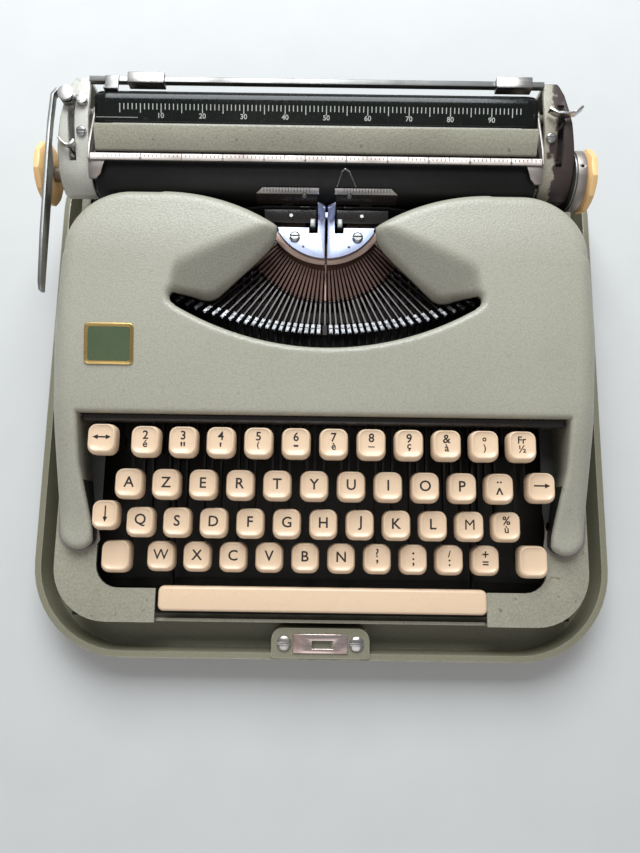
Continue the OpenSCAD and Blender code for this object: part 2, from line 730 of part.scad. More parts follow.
// The slope beside the type basket, cut out of the deck and lowered by drop
module flank(drop) {
    from = [wing_gap - 8, 81];
    to = [88, 43];
    run = to - from;
    both_sides() translate([from[0], from[1], deck_rear_z - 0.6 - drop]) rotate([0, 0, atan2(run[1], run[0])])
        rotate([0, 3.2, 0]) rotate([90, 0, 90]) linear_extrude(norm(run))
            polygon([[0, 0], [0, 30], [-flank_w, 30], [-flank_w, -flank_drop]]);
}

// Opening between the arms, for the keys, widened by grow
module arm_gap(grow) {
    rear = arm_gap_rear / 2 + grow;
    front = arm_gap_front / 2 + grow;
    linear_extrude(100) polygon([[-rear, -lip_y + grow], [-rear, -lip_y - 26], [-front, -arm_nose_y],
        [-front, -120], [front, -120], [front, -arm_nose_y], [rear, -lip_y - 26], [rear, -lip_y + grow]]);
}

// What the curve of the back edge takes off between the lobes
module tail_cut() {
    reach = tail_x - wing_gap + 6;
    centre_y = cover_rear - tail_r;
    both_sides() linear_extrude(100) polygon(concat(arc(tail_x, centre_y, tail_r, 90, 90 + asin(reach / tail_r), 16),
        [[-over, centre_y + sqrt(pow(tail_r, 2) - pow(reach, 2))], [-over, cover_rear + 20], [tail_x, cover_rear + 20]]));
}

module basket_opening() {
    rise = 26.7;
    r = (pow(basket_half_w, 2) + pow(rise, 2)) / (2 * rise);
    half = asin(basket_half_w / r);
    right = [[basket_half_w + 2.4, basket_front + rise + 2.4], [basket_half_w - 2, basket_front + rise + 4.4],
        [60, basket_front + 31.2], [43, 51], [wing_gap, 73], [wing_gap, 100]];
    left = [for (i = [len(right) - 1:-1:0]) [-right[i][0], right[i][1]]];
    linear_extrude(100) polygon(concat(arc(0, basket_front + r, r, 270 - half, 270 + half, 24), right, left));
}

module hinge_pocket() {
    half = hinge_ear_t / 2 + slide_gap + 0.1;
    hub = hinge_pin_r + 0.7 + slide_gap;
    side_solid(arm_x - half, 2 * half, [[hinge_y + hub, hinge_z], [hinge_y + 1.4, hinge_z + 2.1], [hinge_y, hinge_z + hub],
        [hinge_y - 3, hinge_z + 1.6], [hinge_y - 9, hinge_z + 1.6], [hinge_y - 9, 0], [hinge_y + hub, 0]]);
    bar_x(arm_x - 4.8, hinge_y, hinge_z, hinge_pin_r + run_gap, 9.6);
}

module top_cover() {
    skirt_z = 46;
    color(PAINT) difference() {
        cover_form(cover_z, 0);
        flank(0);
        arm_gap(0);
        basket_opening();
        tail_cut();
        // the hollow inside, which leaves the sheet and a skirt round the keys
        difference() {
            intersection() {
                cover_form(cover_z - over, cover_t);
                block([-200, -arm_nose_y + 7, 0], [200, 100, 100]);
            }
            flank(cover_t + 0.5);
            arm_gap(cover_t);
        }
        block([-arm_gap_rear / 2 + 2, -lip_y - over, 0], [arm_gap_rear / 2 - 2, -lip_y + 4, skirt_z]);
        // the back is open under the deck's rolled edge
        block([-200, cover_rear - 4, 0], [200, 120, deck_rear_z - 3.5]);
        both_sides() hinge_pocket();
    }
}

// Carriage

housing_rear = 146.4;
rail_back = housing_rear - 0.2;
HOUSING = [[108, 38], [housing_rear, 38], [housing_rear, 80], [124, 80], [112, 76.5], [100, 71.5], [94, 66],
    [91.5, 60], [92.5, 54], [97, 50], [104, 48.5]];

// The housing's outline from above: its outer side draws in towards the back
function housing_plan(d) = [[0, 80], [housing_half - d, 80], [housing_half - d, 108], [housing_half - 1.2 - d, 118],
    [housing_half - 3.2 - d, 130], [housing_half - 5.6 - d, 140], [housing_half - 8 - d, housing_rear - 1.4],
    [housing_half - 10 - d, housing_rear + over], [0, housing_rear + over]];

// Right-hand end housing about the carriage's middle
module end_housing() {
    x = housing_half - housing_w;
    difference() {
        intersection() {
            side_solid(x, housing_w, HOUSING);
            linear_extrude(100) polygon(housing_plan(0));
        }
        intersection() {
            side_solid(x - over, housing_w, inset(HOUSING, housing_t));
            linear_extrude(100) polygon(housing_plan(housing_t));
        }
        bar_x(0, platen_y, platen_z, shaft_r + run_gap, 200);
        // slot in the top for the small lever that sits here
        block([lever_x - 1.7, SPACE_PIVOT[0] - 6, 70], [lever_x + 1.7, RELEASE_PIVOT[0] + 7, 90]);
    }
    // studs of the paper bail and of the small levers
    bar_x(x - 2.1, bail_pivot[0], bail_pivot[1], 2, housing_w - 2.6);
    bar_x(lever_x - 3, RELEASE_PIVOT[0], RELEASE_PIVOT[1], 1.5, 7.6);
    bar_x(lever_x - 3, SPACE_PIVOT[0], SPACE_PIVOT[1], 1.5, 9.4);
}

module carriage_end_left() {
    color(PAINT) translate([carriage_x, 0, 0]) mirror([1, 0, 0]) end_housing();
}

module carriage_end_right() {
    color(PAINT) translate([carriage_x, 0, 0]) end_housing();
}

module carriage_bed() {
    bed_front = front_rail_y - 6;
    upright_y = platen_y + platen_r + 1;
    color(DARK) translate([carriage_x, 0, 0]) {
        difference() {
            union() {
                block([-bed_half, bed_front, bed_z - 2], [bed_half, rear_rail_y + 5.5, bed_z]);
                for (y = [front_rail_y, rear_rail_y])
                    block([-bed_half, y - runner_w / 2, runner_z], [bed_half, y + runner_w / 2, bed_z - 1]);
                block([-bed_half, wheel_at[1] + pinion_r + 0.1, 33], [bed_half, wheel_at[1] + pinion_r + 1.6, bed_z]);
            }
            for (y = [front_rail_y, rear_rail_y])
                block([-200, y - rail_w / 2 - rail_gap, 0], [200, y + rail_w / 2 + rail_gap, rail_z + rail_gap]);
        }
        both_sides() {
            block([bed_half - 9, upright_y, bed_z - over], [bed_half - 6, upright_y + 3.5, 80]);
            difference() {
                block([bed_half - 5, bed_front, bed_z - over], [bed_half - 3, bed_front + 7, 45.6]);
                feed_axis(bed_half - 6, 4, feed_pin_r + run_gap);
            }
        }
    }
}

// A cylinder on the feed rollers' middle line
module feed_axis(x, w, r) {
    a = 69;
    reach = platen_r + feed_r + 0.1;
    bar_x(x, platen_y + reach * cos(a), platen_z - reach * sin(a), r, w);
}

module feed_rollers() {
    half = bed_half - 1.6;
    roller_w = 30;
    pitch = (platen_half - 7) / 2;
    color(BLACK) translate([carriage_x, 0, 0]) {
        feed_axis(-half, 2 * half, feed_pin_r);
        for (i = [-1.5:1:1.5]) feed_axis(i * pitch - roller_w / 2, roller_w, feed_r);
    }
}

module carriage_screws() {
    tilt = -atan2(3.5, 12);
    color(STEEL) translate([carriage_x, 0, 0]) {
        for (sx = [-1, 1]) translate([sx * (bed_half + 3.4), 117, 76.5 + 5 * 3.5 / 12 + 0.05]) rotate([-tilt, 0, 0])
            slotted_head(2.6, 1.6);
        // shoulder screw of the return lever and the stop stud beside it
        translate([RETURN_PIVOT[0], RETURN_PIVOT[1], 80]) cylinder(r = 2, h = return_top_z - 80);
        translate([RETURN_PIVOT[0], RETURN_PIVOT[1], return_top_z - 1.4]) cylinder(r = 4, h = 1.4);
        translate([RETURN_PIVOT[0] + 7, RETURN_PIVOT[1] - 1, 80]) cylinder(r = 2.8, h = 3);
    }
}

module platen() {
    color(BLACK) translate([carriage_x, 0, 0]) difference() {
        bar_x(-platen_half, platen_y, platen_z, platen_r, 2 * platen_half);
        bar_x(-200, platen_y, platen_z, shaft_r, 400);
    }
}

module platen_shaft() {
    half = housing_half + knob_gap + knob_w;
    color(STEEL) translate([carriage_x, 0, 0]) {
        bar_x(-half + 1, platen_y, platen_z, shaft_r, 2 * half - 2);
        bar_x(housing_half + 0.4, platen_y, platen_z, knob_r - 1.5, 1.2);
    }
}

// A knob from x outwards: flats round it, with its rim drawn in on both faces
module knob(x, w) {
    side = 360 / knob_flats;
    flats = [for (i = [0:knob_flats - 1]) knob_r * [cos(i * side + side / 2), sin(i * side + side / 2)]];
    difference() {
        intersection() {
            translate([x, platen_y, platen_z]) rotate([0, 90, 0]) linear_extrude(w) polygon(flats);
            union() {
                translate([x, platen_y, platen_z]) rotate([0, 90, 0]) cylinder(r1 = knob_r - 5, r2 = knob_r, h = w * 0.4);
                bar_x(x + w * 0.4, platen_y, platen_z, knob_r, w * 0.35);
                translate([x + w * 0.75, platen_y, platen_z]) rotate([0, 90, 0])
                    cylinder(r1 = knob_r, r2 = knob_r - 4, h = w * 0.25);
            }
        }
        bar_x(x - over, platen_y, platen_z, shaft_r, w + 2 * over);
    }
}

module knob_left() {
    color(CREAM) translate([carriage_x, 0, 0]) mirror([1, 0, 0]) knob(housing_half + knob_gap, knob_w);
}

module knob_right() {
    color(CREAM) translate([carriage_x, 0, 0]) knob(housing_half + knob_gap, knob_w);
}

module clutch_ring() {
    color(STEEL) translate([carriage_x, 0, 0]) difference() {
        bar_x(housing_half + 1.6, platen_y, platen_z, knob_r - 1, knob_gap - 1.6);
        bar_x(housing_half, platen_y, platen_z, shaft_r, 10);
        // hole for the clutch's set pin
        translate([housing_half + 3.8, platen_y, platen_z]) cylinder(r = 0.9, h = 30);
    }
}

module ratchet_wheel() {
    teeth = 24;
    points = [for (i = [0:teeth - 1], k = [0, 1])
        let (a = (i + k * 0.7) * 360 / teeth, r = k == 0 ? 7.6 : 6.4) [r * cos(a), r * sin(a)]];
    color(STEEL) difference() {
        translate([carriage_x - housing_half + housing_w - 5, platen_y, platen_z]) rotate([0, 90, 0]) linear_extrude(3)
            polygon(points);
        bar_x(carriage_x - housing_half, platen_y, platen_z, shaft_r, 20);
    }
}

// Return lever about the carriage's middle: its pivot, and its blade seen from above
RETURN_PIVOT = [6.2 - housing_half, 133.6];
RETURN_BLADE = [for (p = [[2.8, 136.2], [1, 136.6], [-1, 133.8], [-1.4, 121], [-1.3, 89], [-1, 70], [-0.7, 56],
    [-0.4, 44], [-0.2, 30]]) [p[0] - housing_half, p[1]]];

module return_lever() {
    root = return_top_z - 6.2;
    color(STEEL) translate([carriage_x, 0, 0]) {
        difference() {
            union() {
                translate([RETURN_PIVOT[0], RETURN_PIVOT[1], 80 + slide_gap]) cylinder(r = 3.8, h = 2.6);
                hull() for (p = [[0, 0], [-4, 2.8]])
                    translate([RETURN_PIVOT[0] + p[0], RETURN_PIVOT[1] + p[1], 80 + slide_gap])
                        cylinder(r = 1.4, h = 2.6);
            }
            translate([RETURN_PIVOT[0], RETURN_PIVOT[1], 0]) cylinder(r = 2 + run_gap, h = 200);
        }
        intersection() {
            linear_extrude(100) polygon(band(RETURN_BLADE, return_t));
            side_solid(-200, 200, [[20, 76.4], [98, 76.4], [108, root + 0.5], [150, root + 0.5], [150, return_top_z - 1.6],
                [110, return_top_z - 1.6], [60, return_top_z - 2.6], [34, 82], [29, 80]]);
        }
    }
}

// A small lever in the top slot of a housing, with a handle that reaches out over it
module small_lever(pivot, top, inner, outer, depth) {
    difference() {
        union() {
            block([lever_x - 1, pivot[0] - 1.6, pivot[1] - 1], [lever_x + 1, pivot[0] + 1.6, top + over]);
            bar_x(lever_x - 1, pivot[0], pivot[1], 3, 2);
        }
        bar_x(lever_x - 2, pivot[0], pivot[1], 1.5 + run_gap, 4);
    }
    translate([lever_x, pivot[0], top]) linear_extrude(depth)
        polygon(band([[-inner, 1.6], [-inner / 2, -0.8], [1, -1.4], [outer * 0.6, -0.4], [outer, 2.6]], 1.2));
}

module line_space_lever() {
    color(STEEL) translate([carriage_x, 0, 0]) mirror([1, 0, 0]) small_lever(SPACE_PIVOT, 76.8, 2, 6, 3);
}

module release_lever() {
    color(STEEL) translate([carriage_x, 0, 0]) small_lever(RELEASE_PIVOT, 82, 7.6, 9.2, 3.8);
}

module paper_bail() {
    x = bed_half - 1.9;
    arm_t = 1;
    ruler_z = platen_z + platen_r + 2.5;
    ruler = [table_front_y - 5.4, table_front_y - 1.8];
    tongue = 7.4;
    color(STEEL) translate([carriage_x, 0, 0]) {
        block([-x, ruler[0], ruler_z], [x, ruler[1], ruler_z + 0.9]);
        both_sides() difference() {
            union() {
                side_solid(x, arm_t, [[ruler[0], ruler_z - 1], [bail_pivot[0], bail_pivot[1] - 3],
                    [bail_pivot[0], bail_pivot[1] + 3], [ruler[0] + 8, ruler_z + 2], [ruler[0], ruler_z + 2]]);
                bar_x(x, bail_pivot[0], bail_pivot[1], 3.6, arm_t);
                // tongue that follows the platen down its front, narrower at its tip
                intersection() {
                    side_solid(x - tongue, tongue + arm_t, concat(arc(platen_y, platen_z, platen_r + 2.5, 92, 128, 6),
                        arc(platen_y, platen_z, platen_r + 1.7, 128, 92, 6)));
                    linear_extrude(100) polygon([[x - tongue, ruler[0]], [x - tongue * 0.7, ruler[0] - 6],
                        [x - tongue * 0.35, platen_y - 9.8], [x + arm_t, platen_y - 9.8], [x + arm_t, 110],
                        [x - tongue, 110]]);
                }
            }
            bar_x(x - over, bail_pivot[0], bail_pivot[1], 2 + run_gap, 4);
        }
    }
}

module paper_table() {
    y0 = table_front_y;
    y1 = platen_y + platen_r + 1;
    color(PAINT) side_solid(carriage_x - table_half, 2 * table_half, [[y0, 77], [y1 - 1.4, 81.6], [y1 - 1.4, 76],
        [y1, 76], [y1, 83.6], [y1 - 1.4, 83.6], [y0, 78.6]]);
}

module margin_scale() {
    y = platen_y + platen_r + 2.6;
    color(DARK) side_solid(carriage_x - table_half, 2 * table_half, [[y, 80], [y + 1.2, 80], [scale_rear, 84.6],
        [scale_rear, 85.8], [scale_rear - 0.7, 85.8], [y, 81.6]]);
}

module margin_rail() {
    color(STEEL) translate([carriage_x, 0, 0]) {
        block([-bed_half, rail_back - 3, 79], [bed_half, rail_back, 82]);
        // flap that joins the rail to the scale plate
        block([8.5 - bed_half, scale_rear - 0.3, 81.6], [15.5 - bed_half, rail_back, 82.6]);
        block([8.5 - bed_half, scale_rear - 0.3, 81.6], [15.5 - bed_half, scale_rear + 0.7, 84.6]);
    }
}

module margin_stop(x, w) {
    color(STEEL) translate([carriage_x + x, 0, 0]) difference() {
        block([0, rail_back - 4.6, 77.8], [w, rail_back + 1.4, 83.8]);
        block([-over, rail_back - 3 - slide_gap, 79 - slide_gap], [w + over, rail_back + slide_gap, 82 + slide_gap]);
    }
}

module margin_stop_left() {
    margin_stop(20.2 - bed_half, 19);
}

module margin_stop_right() {
    margin_stop(bed_half - 25.2, 18.6);
}

// Keyboard

module lever_comb() {
    slot_z = lever_front_z - 9;
    color(BLACK) difference() {
        union() {
            block([-119.5, -20, floor_z], [119.5, -18, 34]);
            block([-plate_x, -20, floor_z], [plate_x, -18, slot_z]);
        }
        for (x = LEVERS_X) block([x - 1.1, -22, slot_z], [x + 1.1, -16, 40]);
    }
}

module lever_rod() {
    color(STEEL) bar_x(-plate_x, rod_y, rod_z, rod_r, 2 * plate_x);
}

// One key lever: a long bar from the pivot rod down to z at the front, and an upright under the key
module key_lever(x, y, under, z = lever_front_z) {
    half = stem_w / 2;
    difference() {
        union() {
            side_solid(x - lever_t / 2, lever_t, [[-y - half, z], [rod_y, rod_z - 3], [rod_y, rod_z + 3],
                [-y + half + 4, z + lever_h], [-y + half, z + lever_h + 2], [-y + half, under], [-y - half, under]]);
            bar_x(x - lever_t / 2, rod_y, rod_z, rod_r + 1.5, lever_t);
        }
        bar_x(x - over, rod_y, rod_z, rod_r + run_gap, 2 * over);
    }
}

module key_cap(x, y, top, w, d) {
    dish_r = (pow(6.4, 2) + pow(dish_depth, 2)) / (2 * dish_depth);
    translate([x, -y, top - cap_h]) difference() {
        linear_extrude(cap_h) polygon(rounded(w, d, cap_r, 4));
        translate([0, 0, cap_h + dish_r - dish_depth]) sphere(r = dish_r);
    }
}

function is_h(row, i) = row == H_ROW && i == H_INDEX;

module caps_row(row) {
    r = ROWS[row];
    color(CREAM) for (i = [0:r[3] - 1]) if (!is_h(row, i)) key_cap(key_x(row, i), r[0], r[1], cap_w, cap_d);
}

module levers_row(row) {
    r = ROWS[row];
    color(DARK) for (i = [0:r[3] - 1]) if (!is_h(row, i)) key_lever(key_x(row, i), r[0], r[1] - cap_h);
}

module caps_row_1() {
    caps_row(0);
}

module caps_row_2() {
    caps_row(1);
}

module caps_row_3() {
    caps_row(2);
}

module caps_row_4() {
    caps_row(3);
}

module levers_row_1() {
    levers_row(0);
}

module levers_row_2() {
    levers_row(1);
}

module levers_row_3() {
    levers_row(2);
}

module levers_row_4() {
    levers_row(3);
}

module key_h() {
    r = ROWS[H_ROW];
    x = key_x(H_ROW, H_INDEX);
    color(CREAM) key_cap(x, r[0], r[1], cap_w, cap_d);
    color(DARK) key_lever(x, r[0], r[1] - cap_h);
}

// A key with its own lever
module special_key(k) {
    color(CREAM) key_cap(k[0], k[1], k[2], k[4], k[5]);
    color(DARK) key_lever(k[3], k[1], k[2] - cap_h);
}

module key_margin_release() {
    special_key(KEY_MARGIN);
}

module key_tabulator() {
    special_key(KEY_TAB);
}

// The lock key rides on the left shift key's lever, on a side arm
module key_shift_lock() {
    color(CREAM) key_cap(KEY_LOCK[0], KEY_LOCK[1], KEY_LOCK[2], KEY_LOCK[4], KEY_LOCK[5]);
    color(DARK) block([KEY_LOCK[3] - lever_t / 2, -KEY_LOCK[1] - 2, 26], [KEY_LOCK[3] + lever_t / 2, -KEY_LOCK[1] + 2,
        KEY_LOCK[2] - cap_h]);
}

module key_shift_left() {
    arm_x0 = KEY_LOCK[3] + lever_t / 2 + slide_gap;
    special_key(KEY_SHIFT_L);
    color(DARK) block([arm_x0, -KEY_LOCK[1] - 3, 22], [KEY_SHIFT_L[3], -KEY_LOCK[1] + 3, 24]);
    color(DARK) block([arm_x0, -KEY_LOCK[1] - 3, 22], [arm_x0 + 1, -KEY_LOCK[1] + 3, 34]);
}

module key_shift_right() {
    special_key(KEY_SHIFT_R);
}

module space_bar() {
    color(CREAM) translate([0.8, -space_y, space_z - space_h]) linear_extrude(space_h)
        polygon(rounded(space_w, space_d, 3, 4));
    color(DARK) for (x = SPACE_LEVERS) key_lever(x, space_y, space_z - space_h, lever_front_z - 7);
}

// Sideways places of all the key levers that the comb guides
LEVERS_X = concat([for (row = [0:3], i = [0:ROWS[row][3] - 1]) key_x(row, i)], SPACE_LEVERS,
    [KEY_MARGIN[3], KEY_TAB[3], KEY_SHIFT_L[3], KEY_SHIFT_R[3]]);

base_pan();
rubber_feet();
latch_strike();
latch_screws();
lower_shell();
chassis();
lever_comb();
lever_rod();
carriage_rails();
mainspring_drum();
escapement_wheel();
bell();
card_holders();
spool_left();
spool_right();
ribbon();
ribbon_vibrator();
segment();
type_guide();
segment_screws();
typebars();
typebar_h();
typebar_rest();
top_cover();
carriage_bed();
carriage_end_left();
carriage_end_right();
carriage_screws();
platen();
platen_shaft();
knob_left();
knob_right();
clutch_ring();
ratchet_wheel();
return_lever();
line_space_lever();
release_lever();
paper_bail();
paper_table();
margin_scale();
margin_rail();
margin_stop_left();
margin_stop_right();
feed_rollers();
space_bar();
key_margin_release();
key_tabulator();
key_shift_lock();
key_shift_left();
key_shift_right();
caps_row_1();
caps_row_2();
caps_row_3();
caps_row_4();
levers_row_1();
levers_row_2();
levers_row_3();
levers_row_4();
key_h();
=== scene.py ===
"""Looks of a portable typewriter that stands in the bottom tray of its case.

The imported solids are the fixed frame. Each sub-assembly is a class: its fields hold sizes in millimetres,
its methods model the visible pieces round the frame's nodes and give them their finishes.
"""

from __future__ import annotations

import json
import logging
import math
from dataclasses import dataclass, field
from enum import Enum
from typing import Iterable, Sequence

import bmesh
import bpy
import numpy as np
from mathutils import Matrix, Vector

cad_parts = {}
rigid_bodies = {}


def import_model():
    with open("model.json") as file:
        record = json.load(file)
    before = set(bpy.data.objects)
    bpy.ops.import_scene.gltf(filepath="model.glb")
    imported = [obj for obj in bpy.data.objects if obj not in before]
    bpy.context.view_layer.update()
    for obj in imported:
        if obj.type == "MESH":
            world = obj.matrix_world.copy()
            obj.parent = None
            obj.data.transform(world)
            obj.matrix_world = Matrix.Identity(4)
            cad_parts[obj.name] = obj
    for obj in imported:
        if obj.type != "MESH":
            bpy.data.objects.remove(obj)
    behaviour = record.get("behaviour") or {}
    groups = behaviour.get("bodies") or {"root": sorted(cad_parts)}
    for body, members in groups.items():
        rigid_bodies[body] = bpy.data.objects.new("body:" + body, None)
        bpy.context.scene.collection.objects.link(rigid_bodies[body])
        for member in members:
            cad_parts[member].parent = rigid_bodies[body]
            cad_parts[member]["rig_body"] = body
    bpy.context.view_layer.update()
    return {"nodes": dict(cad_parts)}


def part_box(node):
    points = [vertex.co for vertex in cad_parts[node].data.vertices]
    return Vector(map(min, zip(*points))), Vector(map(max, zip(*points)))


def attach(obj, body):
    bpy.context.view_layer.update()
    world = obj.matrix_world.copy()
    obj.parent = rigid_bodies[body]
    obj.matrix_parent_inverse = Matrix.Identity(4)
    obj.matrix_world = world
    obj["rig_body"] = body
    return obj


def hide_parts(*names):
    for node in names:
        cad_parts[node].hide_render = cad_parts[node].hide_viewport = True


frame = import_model()
LOG = logging.getLogger("typewriter")
MM = 0.001

Point = tuple[float, float, float]
Flat = tuple[float, float]
Colour = tuple[float, float, float]


class Slot(Enum):
    """Finish names of the record."""

    TRAY = "tray_paint"
    BODY = "body_paint"
    RUBBER = "black_rubber"
    BRIGHT = "bright_steel"
    DARK = "dark_metal"
    BLACK = "black_metal"
    GREY = "grey_steel"
    BRASS = "brass_wheel"
    RIBBON = "ribbon_cloth"
    COPPER = "copper_ring"
    TYPEBAR = "typebar_steel"
    FELT = "felt"
    PLATEN = "platen_rubber"
    KNOB = "knob_plastic"
    CHROME = "chrome_trim"
    SCALE = "scale_enamel"
    KEY = "key_plastic"


# Shader sheets


@dataclass
class Sheet:
    """A node tree that nodes are laid on."""

    tree: bpy.types.NodeTree

    def add(self, kind: str, props: dict[str, object] | None = None, **inputs: object) -> bpy.types.Node:
        """Lays one node and fills its inputs.

        Args:
            kind: The node's type name.
            props: Properties of the node.
            inputs: Constants or sockets by input name, with underscores for spaces, or by place as i0, i1.

        Returns:
            The new node.
        """
        node = self.tree.nodes.new(kind)
        for name, value in (props or {}).items():
            setattr(node, name, value)
        for name, value in inputs.items():
            numbered = name[0] == "i" and name[1:].isdigit()
            self.fill(node.inputs[int(name[1:]) if numbered else name.replace("_", " ")], value)
        return node

    def fill(self, socket: bpy.types.NodeSocket, value: object) -> None:
        """Sets a constant on an input, or links a socket to it.

        Args:
            socket: The input.
            value: A constant, where a colour may be given without its fourth value, or an output.
        """
        if isinstance(value, bpy.types.NodeSocket):
            self.tree.links.new(value, socket)
        elif isinstance(value, tuple) and len(value) == 3 and socket.type == "RGBA":
            socket.default_value = (*value, 1.0)
        else:
            socket.default_value = value

    def effect(self, effect: Effect, **inputs: object) -> bpy.types.bpy_prop_collection:
        """Adds a shared effect and returns its outputs."""
        return self.add("ShaderNodeGroup", {"node_tree": effect.build()}, **inputs).outputs

    def math(self, operation: str, a: object, b: object = 0.0, clamp: bool = False) -> bpy.types.NodeSocket:
        """Adds one calculation and returns its result."""
        return self.add("ShaderNodeMath", {"operation": operation, "use_clamp": clamp}, i0=a, i1=b).outputs[0]

    def mix(self, share: object, a: object, b: object) -> bpy.types.NodeSocket:
        """Adds a colour mix of a and b and returns it."""
        return self.add("ShaderNodeMix", {"data_type": "RGBA"}, i0=share, i6=a, i7=b).outputs[2]

    def spread(self, value: object, low: float, high: float, to_low: float = 0.0,
               to_high: float = 1.0) -> bpy.types.NodeSocket:
        """Adds a clamped map of value from low..high to to_low..to_high and returns it."""
        return self.add("ShaderNodeMapRange", None, i0=value, i1=low, i2=high, i3=to_low, i4=to_high).outputs[0]

    def here(self) -> bpy.types.NodeSocket:
        """Adds the piece's own coordinates and returns them."""
        return self.add("ShaderNodeTexCoord").outputs["Object"]

    def place(self, scale: Point = (1.0, 1.0, 1.0), move: Point = (0.0, 0.0, 0.0)) -> bpy.types.NodeSocket:
        """Adds the piece's own coordinates, scaled and moved, and returns them."""
        return self.add("ShaderNodeMapping", None, Vector=self.here(), Scale=scale, Location=move).outputs[0]

    def axes(self, move: Point = (0.0, 0.0, 0.0)) -> bpy.types.bpy_prop_collection:
        """Adds the piece's own coordinates, moved, and returns X, Y and Z apart."""
        return self.add("ShaderNodeSeparateXYZ", None, i0=self.place(move=move)).outputs

    def noise(self, scale: object, detail: float = 3.0, where: object | None = None) -> bpy.types.NodeSocket:
        """Adds a noise over the piece's own coordinates, or over given ones, and returns its value."""
        where = self.here() if where is None else where
        return self.add("ShaderNodeTexNoise", None, Vector=where, Scale=scale, Detail=detail).outputs[0]


# Effects that several finishes share


@dataclass(frozen=True)
class Effect:
    """A node group with named inputs and outputs, which is built once."""

    name: str
    ins: tuple[tuple[str, float], ...]

    def build(self) -> bpy.types.NodeTree:
        """Makes the effect's node group at its first use.

        Returns:
            The node group.
        """
        if self.name in bpy.data.node_groups:
            return bpy.data.node_groups[self.name]
        tree = bpy.data.node_groups.new(self.name, "ShaderNodeTree")
        for label, value in self.ins:
            socket = tree.interface.new_socket(label, in_out="INPUT", socket_type="NodeSocketFloat")
            socket.default_value = value
        sheet = Sheet(tree)
        results = self.lay(sheet, sheet.add("NodeGroupInput").outputs)
        for label in results:
            tree.interface.new_socket(label, in_out="OUTPUT", socket_type="NodeSocketFloat")
        end = sheet.add("NodeGroupOutput")
        for label, result in results.items():
            sheet.fill(end.inputs[label], result)
        return tree

    def lay(self, s: Sheet, given: bpy.types.bpy_prop_collection) -> dict[str, bpy.types.NodeSocket]:
        """Lays the effect's nodes.

        Args:
            s: The group's sheet.
            given: What the group is given, by input name.

        Returns:
            The group's results by output name.
        """
        raise NotImplementedError


@dataclass(frozen=True)
class WornEdges(Effect):
    """A mask that is 1 where two faces meet sharply, broken up by noise."""

    name: str = "worn_edges"
    ins: tuple[tuple[str, float], ...] = (("Radius", 0.0008), ("Strength", 6.0), ("Scale", 180.0))
    samples: int = 6
    broken: Flat = (0.38, 0.66)

    def lay(self, s: Sheet, given: bpy.types.bpy_prop_collection) -> dict[str, bpy.types.NodeSocket]:
        """Compares the rounded normal with the flat one.

        Args:
            s: The group's sheet.
            given: What the group is given, by input name.

        Returns:
            The mask.
        """
        bent = s.add("ShaderNodeBevel", {"samples": self.samples}, Radius=given["Radius"]).outputs[0]
        flat = s.add("ShaderNodeNewGeometry").outputs["Normal"]
        dot = s.add("ShaderNodeVectorMath", {"operation": "DOT_PRODUCT"}, i0=bent, i1=flat).outputs["Value"]
        sharp = s.math("MULTIPLY", s.math("SUBTRACT", 1.0, dot), given["Strength"])
        broken = s.spread(s.noise(given["Scale"], 5.0), *self.broken)
        return {"Mask": s.math("MULTIPLY", sharp, broken, True)}


@dataclass(frozen=True)
class HammeredEnamel(Effect):
    """Soft cells for the bump of hammered enamel, and a tint that follows them."""

    name: str = "hammered_enamel"
    ins: tuple[tuple[str, float], ...] = (("Scale", 700.0),)
    smoothness: float = 0.7
    cell_share: float = 0.7
    fine_share: float = 0.5
    tint: Flat = (0.3, 0.75)

    def lay(self, s: Sheet, given: bpy.types.bpy_prop_collection) -> dict[str, bpy.types.NodeSocket]:
        """Adds fine noise to the cells.

        Args:
            s: The group's sheet.
            given: What the group is given, by input name.

        Returns:
            The height and the tint.
        """
        here = s.here()
        cells = s.add("ShaderNodeTexVoronoi", {"feature": "SMOOTH_F1"}, Vector=here, Scale=given["Scale"],
                      Smoothness=self.smoothness).outputs["Distance"]
        fine = s.noise(s.math("MULTIPLY", given["Scale"], 0.8), 2.0, here)
        both = s.math("ADD", s.math("MULTIPLY", cells, self.cell_share),
                      s.math("MULTIPLY", fine, self.fine_share))
        return {"Height": both, "Tint": s.spread(both, *self.tint)}


@dataclass(frozen=True)
class Grime(Effect):
    """Cloudy dirt and fine specks."""

    name: str = "grime"
    ins: tuple[tuple[str, float], ...] = (("Scale", 25.0),)
    cloud: Flat = (0.42, 0.72)
    speck: Flat = (0.69, 0.74)
    speck_scale: float = 22.0

    def lay(self, s: Sheet, given: bpy.types.bpy_prop_collection) -> dict[str, bpy.types.NodeSocket]:
        """Cuts two noises at their levels.

        Args:
            s: The group's sheet.
            given: What the group is given, by input name.

        Returns:
            The cloud's mask and the specks' mask.
        """
        clouds = s.noise(given["Scale"], 4.0)
        fine = s.noise(s.math("MULTIPLY", given["Scale"], self.speck_scale), 2.0)
        return {"Cloud": s.spread(clouds, *self.cloud), "Specks": s.spread(fine, *self.speck)}


@dataclass(frozen=True)
class BrushedGrain(Effect):
    """Fine lines of brushed metal, along X where Turn is 0 and along Y where it is 1."""

    name: str = "brushed_grain"
    ins: tuple[tuple[str, float], ...] = (("Turn", 0.0),)
    along: float = 60.0
    across: float = 3200.0

    def lay(self, s: Sheet, given: bpy.types.bpy_prop_collection) -> dict[str, bpy.types.NodeSocket]:
        """Mixes the lines of both directions.

        Args:
            s: The group's sheet.
            given: What the group is given, by input name.

        Returns:
            The lines' value.
        """
        along_x = s.noise(1.0, 2.0, s.place((self.along, self.across, self.across)))
        along_y = s.noise(1.0, 2.0, s.place((self.across, self.along, self.across)))
        mixed = s.add("ShaderNodeMix", {"data_type": "FLOAT"}, i0=given["Turn"], i2=along_x, i3=along_y)
        return {"Line": mixed.outputs[0]}


